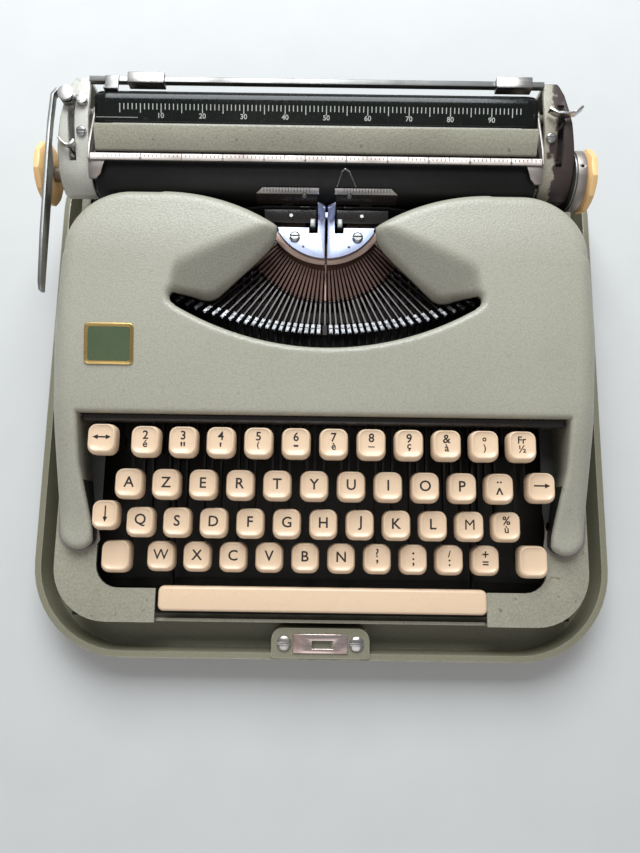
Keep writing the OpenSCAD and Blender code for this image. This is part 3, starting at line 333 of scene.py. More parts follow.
EDGES, HAMMERED, GRIME, GRAIN = WornEdges(), HammeredEnamel(), Grime(), BrushedGrain()


# Finishes


@dataclass(frozen=True)
class Finish:
    """What all finishes have: a name and a way to lay the sheet of their material."""

    name: str

    def build(self) -> bpy.types.Material:
        """Makes the finish's material at its first use.

        Returns:
            The material.
        """
        label = f"{self.name}_finish"
        if label in bpy.data.materials:
            return bpy.data.materials[label]
        material = bpy.data.materials.new(label)
        material.use_nodes = True
        material.node_tree.nodes.clear()
        sheet = Sheet(material.node_tree)
        shader = sheet.add("ShaderNodeBsdfPrincipled")
        sheet.add("ShaderNodeOutputMaterial", None, Surface=shader.outputs[0])
        self.lay(sheet, shader)
        return material

    def lay(self, s: Sheet, shader: bpy.types.Node) -> None:
        """Lays the nodes that feed the shader.

        Args:
            s: The material's sheet.
            shader: The material's Principled shader.
        """
        raise NotImplementedError

    @staticmethod
    def feed(s: Sheet, shader: bpy.types.Node, **sockets: object) -> None:
        """Feeds inputs of the shader, by name with underscores for spaces."""
        for name, value in sockets.items():
            s.fill(shader.inputs[name.replace("_", " ")], value)

    @staticmethod
    def laid(shader: bpy.types.Node) -> bpy.types.NodeSocket:
        """Returns the colour that feeds the shader so far."""
        return shader.inputs["Base Color"].links[0].from_socket

    @staticmethod
    def bump(s: Sheet, height: bpy.types.NodeSocket, depth_mm: float,
             strength: float = 1.0) -> bpy.types.NodeSocket:
        """Adds a bump of that depth and returns its normal."""
        depth = depth_mm * MM
        return s.add("ShaderNodeBump", None, Strength=strength, Distance=depth, Height=height).outputs[0]


@dataclass(frozen=True)
class Enamel(Finish):
    """Hammered stove enamel that is worn to metal along its edges."""

    colour: Colour = (0.5, 0.5, 0.5)
    shade: Colour = (0.4, 0.4, 0.4)
    bare: Colour = (0.42, 0.4, 0.36)
    rough: float = 0.42
    cell: float = 700.0
    depth_mm: float = 0.05
    wear: float = 5.0
    wear_radius_mm: float = 0.7
    wear_scale: float = 160.0
    dirt: Colour = (0.16, 0.14, 0.1)
    dirt_share: float = 0.25
    dirt_scale: float = 14.0
    gloss: float = 0.5

    def lay(self, s: Sheet, shader: bpy.types.Node) -> None:
        """Lays paint, dirt and bare edges over one another.

        Args:
            s: The material's sheet.
            shader: The material's Principled shader.
        """
        hammer = s.effect(HAMMERED, Scale=self.cell)
        grime = s.effect(GRIME, Scale=self.dirt_scale)
        worn = s.effect(EDGES, Radius=self.wear_radius_mm * MM, Strength=self.wear,
                        Scale=self.wear_scale)["Mask"]
        paint = s.mix(hammer["Tint"], self.colour, self.shade)
        clouded = s.mix(s.math("MULTIPLY", grime["Cloud"], self.dirt_share * 0.5), paint, self.dirt)
        specked = s.mix(s.math("MULTIPLY", grime["Specks"], self.dirt_share), clouded, self.dirt)
        rough = s.spread(hammer["Tint"], 0.0, 1.0, self.rough - 0.06, self.rough + 0.08)
        self.feed(s, shader, Base_Color=s.mix(worn, specked, self.bare), Roughness=rough,
                  Metallic=s.math("MULTIPLY", worn, 0.8), Specular_IOR_Level=self.gloss,
                  Normal=self.bump(s, hammer["Height"], self.depth_mm))


@dataclass(frozen=True)
class Metal(Finish):
    """Brushed, cast or plated metal with cloudy tarnish."""

    colour: Colour = (0.6, 0.6, 0.6)
    tarnish: Colour = (0.3, 0.28, 0.25)
    tarnish_share: float = 0.3
    rough: float = 0.25
    turn: float = 0.0
    depth_mm: float = 0.01
    cloud: float = 60.0

    def lay(self, s: Sheet, shader: bpy.types.Node) -> None:
        """Lays the metal, its tarnish and its grain.

        Args:
            s: The material's sheet.
            shader: The material's Principled shader.
        """
        grime = s.effect(GRIME, Scale=self.cloud)
        line = s.effect(GRAIN, Turn=self.turn)["Line"]
        dull = s.math("MULTIPLY", grime["Cloud"], self.tarnish_share)
        specked = s.math("ADD", dull, s.math("MULTIPLY", grime["Specks"], self.tarnish_share), True)
        rough = s.math("ADD", s.spread(line, 0.3, 0.7, self.rough - 0.05, self.rough + 0.07),
                       s.math("MULTIPLY", dull, 0.3), True)
        self.feed(s, shader, Base_Color=s.mix(specked, self.colour, self.tarnish), Metallic=1.0,
                  Roughness=rough, Normal=self.bump(s, line, self.depth_mm, 0.5))


@dataclass(frozen=True)
class Plastic(Finish):
    """Aged pressed plastic: warmer in cloudy patches, paler on its rubbed edges."""

    colour: Colour = (0.8, 0.7, 0.5)
    aged: Colour = (0.7, 0.5, 0.3)
    aged_share: float = 0.5
    aged_scale: float = 120.0
    rubbed: Colour = (0.9, 0.8, 0.65)
    rough: float = 0.3
    dirt: Colour = (0.3, 0.2, 0.12)
    dirt_share: float = 0.35

    def lay(self, s: Sheet, shader: bpy.types.Node) -> None:
        """Lays the plastic's own colour, its ageing and its dirt.

        Args:
            s: The material's sheet.
            shader: The material's Principled shader.
        """
        grime = s.effect(GRIME, Scale=45.0)
        edge = s.effect(EDGES, Radius=0.0012, Strength=3.0, Scale=90.0)["Mask"]
        aged = s.mix(s.math("MULTIPLY", s.noise(self.aged_scale, 3.0), self.aged_share), self.colour, self.aged)
        clean = s.mix(edge, aged, self.rubbed)
        spots = s.math("MULTIPLY", grime["Specks"], self.dirt_share)
        rough = s.spread(grime["Cloud"], 0.0, 1.0, self.rough, self.rough + 0.14)
        self.feed(s, shader, Base_Color=s.mix(spots, clean, self.dirt), Roughness=rough,
                  Normal=self.bump(s, s.noise(900.0, 2.0), 0.012))


@dataclass(frozen=True)
class Dull(Finish):
    """Rubber, felt, ink and cloth: dark stuff with a light dust on it."""

    colour: Colour = (0.02, 0.02, 0.02)
    dust: Colour = (0.12, 0.11, 0.1)
    dust_share: float = 0.2
    rough: float = 0.6
    scale: float = 500.0
    depth_mm: float = 0.03
    gloss: float = 0.5

    def lay(self, s: Sheet, shader: bpy.types.Node) -> None:
        """Lays the stuff and the dust on it.

        Args:
            s: The material's sheet.
            shader: The material's Principled shader.
        """
        fine = s.noise(self.scale, 4.0)
        cloud = s.math("MULTIPLY", s.spread(s.noise(30.0, 5.0), 0.4, 0.75), self.dust_share)
        self.feed(s, shader, Base_Color=s.mix(cloud, self.colour, self.dust), Specular_IOR_Level=self.gloss,
                  Roughness=s.spread(fine, 0.2, 0.8, self.rough - 0.08, self.rough + 0.08),
                  Normal=self.bump(s, fine, self.depth_mm))


@dataclass(frozen=True)
class LinedTray(Enamel):
    """The tray's enamel, with painted shade: a near-black colour on its floor under the machine, where shade
    falls.
    """

    # near-black painted shade for the floor under the machine, not a real lining
    lining: Colour = (0.02, 0.017, 0.013)
    half_w: float = 0.141
    half_d: float = 0.134
    floor: float = 0.0052

    def lay(self, s: Sheet, shader: bpy.types.Node) -> None:
        """Lays the enamel, then the painted shade on the floor inside the machine's outline.

        Args:
            s: The material's sheet.
            shader: The material's Principled shader.
        """
        super().lay(s, shader)
        x, y, z = s.axes()
        inside = s.math("MULTIPLY", s.math("LESS_THAN", s.math("ABSOLUTE", x), self.half_w),
                        s.math("LESS_THAN", s.math("ABSOLUTE", y), self.half_d))
        # painted shade: floor faces inside the machine's outline turn near-black
        low = s.math("MULTIPLY", inside, s.math("LESS_THAN", z, self.floor))
        self.feed(s, shader, Base_Color=s.mix(low, self.laid(shader), self.lining))


@dataclass(frozen=True)
class WornEnamel(Enamel):
    """Enamel that hands have rubbed down to brown metal on the outer side."""

    rubbed_x: Flat = (0.1135, 0.1245)
    rubbed: Colour = (0.05, 0.033, 0.029)
    patch_edge: Flat = (0.62, 0.68)

    def lay(self, s: Sheet, shader: bpy.types.Node) -> None:
        """Lays the enamel, then the rubbed patches over it.

        Args:
            s: The material's sheet.
            shader: The material's Principled shader.
        """
        super().lay(s, shader)
        side = s.spread(s.math("ABSOLUTE", s.axes()[0]), *self.rubbed_x)
        patch = s.math("ADD", s.math("MULTIPLY", side, 0.55), s.math("MULTIPLY", s.noise(110.0, 8.0), 0.9))
        bare = s.spread(patch, *self.patch_edge)
        self.feed(s, shader, Base_Color=s.mix(bare, self.laid(shader), self.rubbed))


@dataclass(frozen=True)
class TypebarSteel(Metal):
    """Typebar steel: brown where the segment's oil has reached it, then a dark gap, then grey."""

    centre_y: float = 0.088
    brown: Colour = (0.28, 0.175, 0.145)
    grey: Colour = (0.13, 0.115, 0.11)
    gap: Colour = (0.03, 0.027, 0.025)
    brown_end: float = 0.0485
    wobble: float = 0.0004

    def lay(self, s: Sheet, shader: bpy.types.Node) -> None:
        """Lays the bands round the segment over the plain steel.

        Args:
            s: The material's sheet.
            shader: The material's Principled shader.
        """
        super().lay(s, shader)
        x, y, _ = s.axes((0.0, -self.centre_y, 0.0))
        flat = s.add("ShaderNodeCombineXYZ", None, i0=x, i1=y).outputs[0]
        reach = s.add("ShaderNodeVectorMath", {"operation": "LENGTH"}, i0=flat).outputs["Value"]
        uneven = s.math("ADD", reach, s.spread(s.noise(900.0), 0.0, 1.0, -self.wobble, self.wobble))
        outer = s.mix(s.spread(uneven, self.brown_end, self.brown_end + 0.0005), self.brown, self.gap)
        bars = s.mix(s.spread(uneven, self.brown_end + 0.0012, self.brown_end + 0.002), outer, self.grey)
        self.feed(s, shader, Base_Color=bars)


BODY = Enamel("body_enamel", colour=(0.425, 0.41, 0.335), shade=(0.36, 0.345, 0.275), bare=(0.5, 0.47, 0.4),
              rough=0.36, cell=1100.0, depth_mm=0.1, wear=3.0, wear_radius_mm=0.6, dirt_share=0.2)
SHELL = Enamel("shell_enamel", colour=(0.38, 0.365, 0.285), shade=(0.3, 0.285, 0.215), bare=(0.5, 0.47, 0.38),
               rough=0.38, cell=1000.0, depth_mm=0.13, wear=5.0, wear_radius_mm=0.7, dirt=(0.12, 0.09, 0.06),
               dirt_share=0.6)
HOUSING = Enamel("housing_enamel", colour=(0.64, 0.63, 0.56), shade=(0.54, 0.53, 0.46), bare=(0.12, 0.09, 0.07),
                 rough=0.36, cell=1500.0, depth_mm=0.05, wear=7.0, wear_radius_mm=0.9, dirt_share=0.4)
WORN = WornEnamel("worn_enamel", colour=(0.4, 0.37, 0.29), shade=(0.3, 0.27, 0.2), bare=(0.07, 0.05, 0.045),
                  rough=0.36, cell=1500.0, depth_mm=0.05, wear=8.0, wear_radius_mm=1.2, dirt_share=0.5)
# tray enamel, which also paints shade on the floor under the machine
TRAY = LinedTray("tray_enamel_with_painted_shade", colour=(0.26, 0.245, 0.17), shade=(0.2, 0.19, 0.13), bare=(0.5, 0.46, 0.37),
                 rough=0.34, cell=1700.0, depth_mm=0.03, wear=6.0, wear_radius_mm=1.0)
PLATE = Enamel("scale_enamel", colour=(0.006, 0.0075, 0.0065), shade=(0.005, 0.006, 0.005),
               bare=(0.2, 0.2, 0.18), gloss=0.3, rough=0.13, cell=900.0, depth_mm=0.006, wear=1.5,
               wear_radius_mm=0.3, dirt=(0.05, 0.05, 0.04))
BLACK = Enamel("black_enamel", colour=(0.022, 0.017, 0.0155), shade=(0.014, 0.011, 0.01),
               bare=(0.1, 0.08, 0.07), rough=0.24, cell=900.0, depth_mm=0.01, wear=2.0,
               wear_radius_mm=0.4, dirt=(0.05, 0.035, 0.03))
# near-black painted shade for the cover's inner arm walls and the ledges beside the key well, which lie in
# shade
PAINTED_SHADE = Enamel("painted_shade_enamel", colour=(0.03, 0.031, 0.026), shade=(0.02, 0.02, 0.017), bare=(0.1, 0.09, 0.08),
               rough=0.5, cell=900.0, depth_mm=0.03, wear=0.5, dirt=(0.02, 0.018, 0.015))
STEEL = Metal("bright_steel", colour=(0.5, 0.48, 0.47), tarnish=(0.22, 0.19, 0.17), tarnish_share=0.45,
              rough=0.3)
PLATE_STEEL = Metal("guide_steel", colour=(0.56, 0.61, 0.8), tarnish=(0.38, 0.4, 0.5), tarnish_share=0.2,
                    rough=0.42, turn=1.0)
GREY_STEEL = Metal("grey_steel", colour=(0.3, 0.3, 0.29), tarnish=(0.13, 0.11, 0.1), tarnish_share=0.5,
                   rough=0.36)
DARK = Metal("dark_steel", colour=(0.05, 0.046, 0.042), tarnish=(0.02, 0.018, 0.016), tarnish_share=0.6,
             rough=0.42)
CHROME = Metal("chrome", colour=(0.5, 0.48, 0.46), tarnish=(0.24, 0.19, 0.16), tarnish_share=0.5,
               rough=0.24)
RULER = Metal("ruler_steel", colour=(0.39, 0.345, 0.315), tarnish=(0.24, 0.2, 0.18), tarnish_share=0.5,
              rough=0.46)
CATCH = Metal("catch_chrome", colour=(0.68, 0.55, 0.51), tarnish=(0.22, 0.1, 0.07), tarnish_share=0.7,
              rough=0.26)
COPPER = Metal("copper_ring", colour=(0.27, 0.19, 0.155), tarnish=(0.13, 0.08, 0.06), tarnish_share=0.5,
               rough=0.4)
BRASS = Metal("brass", colour=(0.62, 0.43, 0.16), tarnish=(0.3, 0.2, 0.09), tarnish_share=0.4, rough=0.3)
BARS = TypebarSteel("typebar_steel", rough=0.4)
TYPES = Metal("type_steel", colour=(0.5, 0.5, 0.52), tarnish=(0.07, 0.065, 0.065), tarnish_share=0.8,
              rough=0.26, cloud=420.0, depth_mm=0.05)
KEY = Plastic("key_plastic", colour=(0.78, 0.58, 0.4), aged=(0.74, 0.51, 0.33), rubbed=(0.86, 0.7, 0.52),
              rough=0.24)
KNOB = Plastic("knob_plastic", colour=(0.92, 0.6, 0.27), aged=(0.8, 0.42, 0.15), rubbed=(0.93, 0.74, 0.44),
               rough=0.34)
INK = Dull("key_ink", colour=(0.012, 0.009, 0.009), rough=0.45, dust_share=0.1, depth_mm=0.01)
WHITE = Dull("scale_ink", colour=(0.42, 0.43, 0.38), dust=(0.2, 0.2, 0.17), rough=0.5, dust_share=0.6,
             depth_mm=0.01)
RUBBER = Dull("rubber", colour=(0.02, 0.02, 0.02), rough=0.7)
PLATEN = Dull("platen_rubber", colour=(0.011, 0.0105, 0.0105), dust=(0.03, 0.028, 0.027), rough=0.4,
              dust_share=0.2, scale=260.0, depth_mm=0.02, gloss=0.22)
FELT = Dull("felt", colour=(0.02, 0.017, 0.016), dust=(0.06, 0.05, 0.045), rough=0.9, scale=1600.0,
            depth_mm=0.15)
CLOTH = Dull("ribbon_cloth", colour=(0.012, 0.012, 0.015), rough=0.75, scale=2600.0, depth_mm=0.05)
GREEN = Dull("plaque_enamel", colour=(0.07, 0.1, 0.05), dust=(0.16, 0.17, 0.1), rough=0.3, dust_share=0.3)
FLOOR = Dull("studio_floor", colour=(0.6, 0.6, 0.59), dust=(0.56, 0.56, 0.55), rough=0.85, dust_share=0.4,
             scale=40.0, depth_mm=0.05)


# Bench tools, all in millimetres


def box(bm: bmesh.types.BMesh, low: Point, high: Point) -> list[bmesh.types.BMVert]:
    """Adds a block between two corners and returns its vertices."""
    a, b = Vector(low), Vector(high)
    matrix = Matrix.Translation((a + b) / 2) @ Matrix.Diagonal((*(b - a), 1))
    return bmesh.ops.create_cube(bm, size=1.0, matrix=matrix)["verts"]


def rod(bm: bmesh.types.BMesh, start: Point, end: Point, radius: float, end_radius: float | None = None,
        sides: int = 16) -> list[bmesh.types.BMVert]:
    """Adds a round rod or cone between two points.

    Args:
        bm: The workpiece.
        start: The middle of its first end.
        end: The middle of its other end.
        radius: Its radius at the start.
        end_radius: Its radius at the end, where that differs.
        sides: How many sides it has.

    Returns:
        Its vertices.
    """
    a, b = Vector(start), Vector(end)
    turn = (b - a).to_track_quat("Z", "Y").to_matrix().to_4x4()
    return bmesh.ops.create_cone(bm, cap_ends=True, segments=sides, radius1=radius,
                                 radius2=radius if end_radius is None else end_radius, depth=(b - a).length,
                                 matrix=Matrix.Translation((a + b) / 2) @ turn)["verts"]


def new_verts(grown: Iterable[object]) -> list[bmesh.types.BMVert]:
    """Returns the vertices among what an operator made."""
    return [g for g in grown if isinstance(g, bmesh.types.BMVert)]


def new_faces(grown: Iterable[object]) -> list[bmesh.types.BMFace]:
    """Returns the faces among what an operator made."""
    return [g for g in grown if isinstance(g, bmesh.types.BMFace)]


def plate(bm: bmesh.types.BMesh, outline: Sequence[Flat], z: float, thick: float) -> list[bmesh.types.BMVert]:
    """Adds a flat plate.

    Args:
        bm: The workpiece.
        outline: Its outline.
        z: The height of its lower face.
        thick: Its thickness.

    Returns:
        Its vertices.
    """
    ring = [bm.verts.new((x, y, z)) for x, y in outline]
    top = new_verts(bmesh.ops.extrude_face_region(bm, geom=[bm.faces.new(ring)])["geom"])
    bmesh.ops.translate(bm, verts=top, vec=(0, 0, thick))
    return ring + top


def squared(w: float, d: float, r: float, steps: int = 5) -> list[Flat]:
    """Draws the outline of a rectangle with round corners about the origin.

    Args:
        w: Its width.
        d: Its depth.
        r: The radius of its corners.
        steps: How many edges a corner has.

    Returns:
        The outline's places.
    """
    quarters = [(w / 2 - r, d / 2 - r), (r - w / 2, d / 2 - r), (r - w / 2, r - d / 2), (w / 2 - r, r - d / 2)]
    return [(x + r * math.cos(a), y + r * math.sin(a)) for k, (x, y) in enumerate(quarters)
            for a in (math.radians(90 * k + 90 * i / steps) for i in range(steps + 1))]


def sharp_edges(bm: bmesh.types.BMesh, degrees: float) -> list[bmesh.types.BMEdge]:
    """Returns the edges between two faces that meet at more than that angle."""
    limit = math.radians(degrees)
    return [e for e in bm.edges if len(e.link_faces) == 2 and e.calc_face_angle(0.0) > limit]


def rounded(bm: bmesh.types.BMesh, edges: Sequence[bmesh.types.BMEdge], width: float, steps: int) -> None:
    """Rounds those edges with that width, in that many steps."""
    if edges:
        bmesh.ops.bevel(bm, geom=edges, offset=width, offset_type="OFFSET", segments=steps, profile=0.5,
                        affect="EDGES", clamp_overlap=True, material=-1)


def soften(bm: bmesh.types.BMesh, width: float, steps: int = 2, degrees: float = 32.0) -> None:
    """Rounds all the edges that are sharper than that angle."""
    rounded(bm, sharp_edges(bm, degrees), width, steps)


def copied(node: str) -> bmesh.types.BMesh:
    """Copies a CAD node's mesh, merged and with its flat faces joined.

    Args:
        node: The node's name.

    Returns:
        The copy, in millimetres.
    """
    bm = bmesh.new()
    bm.from_mesh(frame["nodes"][node].data)
    bmesh.ops.scale(bm, vec=(1 / MM,) * 3, verts=bm.verts)
    bmesh.ops.remove_doubles(bm, verts=bm.verts, dist=0.002)
    bmesh.ops.dissolve_limit(bm, angle_limit=math.radians(1.0), verts=bm.verts, edges=bm.edges)
    return bm


def moved(bm: bmesh.types.BMesh, verts: Iterable[bmesh.types.BMVert], matrix: Matrix) -> None:
    """Moves vertices by a matrix."""
    bmesh.ops.transform(bm, matrix=matrix, verts=list(verts))


def settle(bm: bmesh.types.BMesh, name: str, body: str, finish: Finish,
           replaces: Sequence[str] = (), smooth: float = 35.0) -> bpy.types.Object:
    """Turns a workpiece into a scene object that rides on a body.

    Args:
        bm: The workpiece, in millimetres.
        name: The piece's name.
        body: The CAD body that it rides on.
        finish: Its finish.
        replaces: CAD nodes that it stands for.
        smooth: Edges that are sharper than this angle stay sharp.

    Returns:
        The new object.
    """
    bmesh.ops.scale(bm, vec=(MM,) * 3, verts=bm.verts)
    mesh = bpy.data.meshes.new(name)
    bm.to_mesh(mesh)
    bm.free()
    mesh.shade_smooth()
    mesh.set_sharp_from_angle(angle=math.radians(smooth))
    mesh.materials.append(finish.build())
    piece = bpy.data.objects.new(name, mesh)
    bpy.context.scene.collection.objects.link(piece)
    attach(piece, body)
    if replaces:
        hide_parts(*replaces)
    LOG.info("%s: %d faces on %s", name, len(mesh.polygons), body)
    return piece


def thickened(piece: bpy.types.Object, thick: float, offset: float = -1.0) -> None:
    """Gives a piece that is a sheet its thickness."""
    solid = piece.modifiers.new("sheet", "SOLIDIFY")
    solid.thickness, solid.offset = thick * MM, offset


def rounded_node(node: str, width: float, finish: Finish, steps: int = 2,
                 smooth: float = 35.0) -> bpy.types.Object:
    """Replaces a CAD node by a copy of it with rounded edges.

    Args:
        node: The node's name.
        width: How far the rounding reaches from an edge.
        finish: The copy's finish.
        steps: How many steps the rounding has.
        smooth: Edges that are sharper than this angle stay sharp.

    Returns:
        The copy as a scene object.
    """
    bm = copied(node)
    soften(bm, width, steps)
    return settle(bm, f"{node}_rounded", frame["nodes"][node]["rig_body"], finish, (node,), smooth)


def dressed_node(node: str, finish: Finish) -> None:
    """Gives a CAD node that stays its finish.

    Args:
        node: The node's name.
        finish: Its finish.
    """
    piece = frame["nodes"][node]
    for place in piece.material_slots:
        place.material = finish.build()
    if not piece.material_slots:
        piece.data.materials.append(finish.build())
    LOG.info("%s: node in %s", node, finish.name)


def lettering(text: str, size: float, thin: float = 0.0) -> bmesh.types.BMesh:
    """Makes flat raised lettering about the origin, a hair thick.

    Args:
        text: The generic legend.
        size: The height of a capital's body.
        thin: How much the strokes are drawn in.

    Returns:
        The lettering as a workpiece.
    """
    curve = bpy.data.curves.new("legend", "FONT")
    curve.body = text
    curve.size = size
    curve.align_x, curve.align_y = "CENTER", "CENTER"
    curve.resolution_u = 3
    curve.offset = -thin
    curve.extrude = 0.05
    holder = bpy.data.objects.new("legend", curve)
    bpy.context.scene.collection.objects.link(holder)
    bpy.context.view_layer.update()
    bm = bmesh.new()
    bm.from_mesh(holder.to_mesh())
    holder.to_mesh_clear()
    bpy.data.objects.remove(holder)
    bpy.data.curves.remove(curve)
    bmesh.ops.remove_doubles(bm, verts=bm.verts, dist=0.0005)
    middle = [(min(v.co[i] for v in bm.verts) + max(v.co[i] for v in bm.verts)) / 2 for i in (0, 1)]
    bmesh.ops.translate(bm, verts=bm.verts, vec=(-middle[0], -middle[1], 0.0))
    return bm


def joined(bm: bmesh.types.BMesh, other: bmesh.types.BMesh, matrix: Matrix) -> None:
    """Adds another workpiece to this one and frees it.

    Args:
        bm: This workpiece.
        other: The workpiece that is added.
        matrix: Where it goes.
    """
    moved(other, other.verts, matrix)
    carrier = bpy.data.meshes.new("carrier")
    other.to_mesh(carrier)
    other.free()
    bm.from_mesh(carrier)
    bpy.data.meshes.remove(carrier)


# Sub-assemblies


@dataclass
class Tray:
    """The bottom tray of the case, with its feet and the catch's strike plate."""

    rim_roll: float = 1.5
    rim_from_z: float = 17.0
    feet_round: float = 1.0
    catch_edge: float = 0.3
    screw_edge: float = 0.15
    lug_half: float = 26.3
    lug_y: Flat = (-140.0, -130.0)
    lug_cad_round: float = 2.0
    lug_round: float = 6.0

    def build(self) -> None:
        """Models the tray, its feet and its catch."""
        bm = copied("base_pan")
        self.round_lug(bm)
        rim = [e for e in sharp_edges(bm, 40.0) if min(v.co.z for v in e.verts) > self.rim_from_z]
        rounded(bm, rim, self.rim_roll, 4)
        settle(bm, "base_pan_rolled", "machine", TRAY, ("base_pan",), 40.0)
        rounded_node("rubber_feet", self.feet_round, RUBBER, 3)
        rounded_node("latch_strike", self.catch_edge, CATCH)
        rounded_node("latch_screws", self.screw_edge, CHROME)

    def round_lug(self, bm: bmesh.types.BMesh) -> None:
        """Widens the rounding of the lug's two inner corners: the raised top's arcs, then the walls under them.

        Args:
            bm: The tray.
        """
        near, far = self.lug_y
        walls = [e for e in sharp_edges(bm, 60.0)
                 if all(abs(abs(v.co.x) - self.lug_half) < 0.01 and near < v.co.y < far for v in e.verts)
                 and abs(e.verts[0].co.z - e.verts[1].co.z) > 5.0]
        if not walls:
            return
        back = max(v.co.y for e in walls for v in e.verts)
        rim = max(v.co.z for e in walls for v in e.verts)
        grow = self.lug_round / self.lug_cad_round
        for v in bm.verts:
            off = Vector((abs(v.co.x) - self.lug_half, v.co.y - back)) + Vector((1.0, 1.0)) * self.lug_cad_round
            if v.co.z > rim - 0.01 and min(off) > -0.01 and abs(off.length - self.lug_cad_round) < 0.05:
                v.co.x = math.copysign(self.lug_half - self.lug_round + off.x * grow, v.co.x)
                v.co.y = back - self.lug_round + off.y * grow
        rounded(bm, walls, self.lug_round - 0.05, 6)


@dataclass
class TopCover:
    """The ribbon cover: one pressing with two arms, two lobes and the opening of the type basket.

    A place with a radius is given as X, Y and the radius.
    """

    stations: tuple[float, ...] = (-87.0, -28.0, 15.0, 62.0, 89.0)
    tops: tuple[float, ...] = (39.0, 61.0, 68.2, 74.0, 74.0)
    sides: tuple[float, ...] = (138.5, 141.0, 141.0, 135.5, 135.5)
    shoulders: tuple[float, ...] = (3.8, 12.0, 12.0, 6.0, 6.0)
    skirt_z: float = 31.4
    rim_depth: float = 2.2
    sheet_t: float = 1.3
    lip_y: float = -27.0
    lip_roll: float = 2.2
    rear_y: float = 88.6
    rear_from: float = 40.0
    corner: Point = (101.5, 54.6, 34.0)
    nose: Point = (129.0, -87.0, 9.5)
    tail: Point = (85.0, -18.0, 107.0)
    tail_roll: float = 6.0
    gap_rear: float = 126.0
    gap_front: float = 121.0
    basket_front: float = 7.3
    basket_half: float = 77.4
    basket_rise: float = 20.7
    basket_roll: float = 3.0
    wing_roll: float = 1.6
    tip_r: float = 4.0
    wing: tuple[Flat, ...] = ((73.6, 36.7), (70.0, 36.7), (65.5, 36.0), (61.5, 36.2), (57.8, 37.8),
                              (52.5, 41.8), (45.0, 47.8), (36.0, 55.0), (29.6, 60.6), (27.0, 63.8),
                              (25.7, 67.4), (25.6, 71.5), (26.0, 100.0))
    flank_from: Flat = (22.0, 72.5)
    flank_to: Flat = (88.0, 40.0)
    flank_top: float = 73.6
    flank_fall: float = 0.98
    flank_tilt: float = 4.2
    flank_end: float = 57.0
    flank_front: float = 36.0
    crease: float = 2.6
    across: int = 84
    arm: tuple[float, ...] = (0.0, 0.25, 0.7, 1.3, 2.1, 3.2, 4.6, 6.4, 8.4, 10.2, 11.7, 12.9, 13.8, 14.5, 14.87,
                              15.0)
    snap: float = 2.5
    ease: float = 3.5
    hinge: Point = (-92.7, 35.2, 3.8)
    ledge_z: float = 31.0
    flange: float = 1.5
    flange_side: float = 3.3
    flange_in: float = -1.6
    flange_from: float = -34.0
    # outline of the near-black sheet that paints shade on the shell's ledge beside the key well
    liner: tuple[Flat, ...] = ((119.2, -28.0), (128.5, -28.0), (127.0, -62.0), (123.5, -80.0), (121.0, -84.0),
                               (119.2, -74.0))
    plaque_at: Flat = (-109.5, 7.0)
    plaque_size: Point = (25.0, 21.0, 2.2)
    field_size: Point = (21.2, 17.2, 1.2)

    def top(self, y: float) -> float:
        """Returns the deck's height at y, with its bends eased."""
        return float(np.mean([np.interp(y + d, self.stations, self.tops) for d in (-9, -6, -3, 0, 3, 6, 9)]))

    @staticmethod
    def half_chord(radius: float, off: float) -> float:
        """Returns half the length of a circle's chord that lies off its middle, or 0 past the circle."""
        return math.sqrt(max(radius ** 2 - off ** 2, 0.0))

    def outer(self, y: float) -> float:
        """Finds the half width of the cover's outline.

        Args:
            y: Where along the cover.

        Returns:
            The outline's X.
        """
        nose_x, nose_y, nose_r = self.nose
        corner_x, corner_y, corner_r = self.corner
        if y < nose_y:
            return nose_x + self.half_chord(nose_r, y - nose_y)
        if y > corner_y:
            return corner_x + self.half_chord(corner_r, y - corner_y)
        return float(np.interp(y, self.stations, self.sides))

    def inner(self, y: float) -> float:
        """Finds the half width of the gap between the arms.

        Args:
            y: Where along the cover.

        Returns:
            The arm's inner X.
        """
        nose_x, nose_y, nose_r = self.nose
        if y < nose_y:
            return max(self.gap_front, nose_x - self.half_chord(nose_r, y - nose_y))
        if y < self.lip_y:
            return float(np.interp(y, (nose_y, self.lip_y - 26), (self.gap_front, self.gap_rear)))
        return self.gap_rear * self.outer(y) / self.sides[1]

    def rear(self, x: float) -> float:
        """Returns the back edge's Y at x."""
        tail_x, tail_y, tail_r = self.tail
        return self.rear_y if x >= tail_x else tail_y + self.half_chord(tail_r, tail_x - x)

    def opening(self) -> np.ndarray:
        """Draws the outline of the basket's opening, right half first.

        Returns:
            The outline's places.
        """
        w, rise, tip = self.basket_half, self.basket_rise, self.tip_r
        r = (w * w + rise * rise) / (2 * rise)
        half = math.asin(w / r)
        arc = [(r * math.sin(a), self.basket_front + r - r * math.cos(a)) for a in np.linspace(-half, half, 40)]
        tip_x, tip_y = w - 1.2, self.basket_front + rise + 4.2
        turn = [(tip_x + tip * math.cos(a), tip_y + tip * math.sin(a)) for a in np.linspace(-1.25, 1.45, 9)]
        right = [*turn, *self.wing]
        return np.array([*arc, *right, *[(-x, y) for x, y in reversed(right)]])

    @staticmethod
    def roll(distance: float, radius: float) -> float:
        """Finds how far a rounded edge has dropped.

        Args:
            distance: How far the place lies inside the outline.
            radius: The edge's radius.

        Returns:
            The drop.
        """
        if distance >= radius:
            return 0.0
        return radius - math.sqrt(max(radius ** 2 - (radius - max(distance, 0.0)) ** 2, 0.0))

    def flank(self, x: float, y: float) -> float:
        """Finds the height of the slope beside the basket, which fades out past its end.

        Args:
            x: The place's X.
            y: The place's Y.

        Returns:
            The slope's height.
        """
        ax, ay = self.flank_from
        bx, by = self.flank_to
        length = math.hypot(bx - ax, by - ay)
        ux, uy = (bx - ax) / length, (by - ay) / length
        along = (x - ax) * ux + (y - ay) * uy
        across = -(x - ax) * uy + (y - ay) * ux
        fade = max(along - self.flank_end, 0.0)
        ahead = max(self.flank_front - y, 0.0)
        fall = along * math.tan(math.radians(self.flank_tilt))
        return self.flank_top - fall + self.flank_fall * across + 0.08 * fade ** 2 + 3.0 * ahead

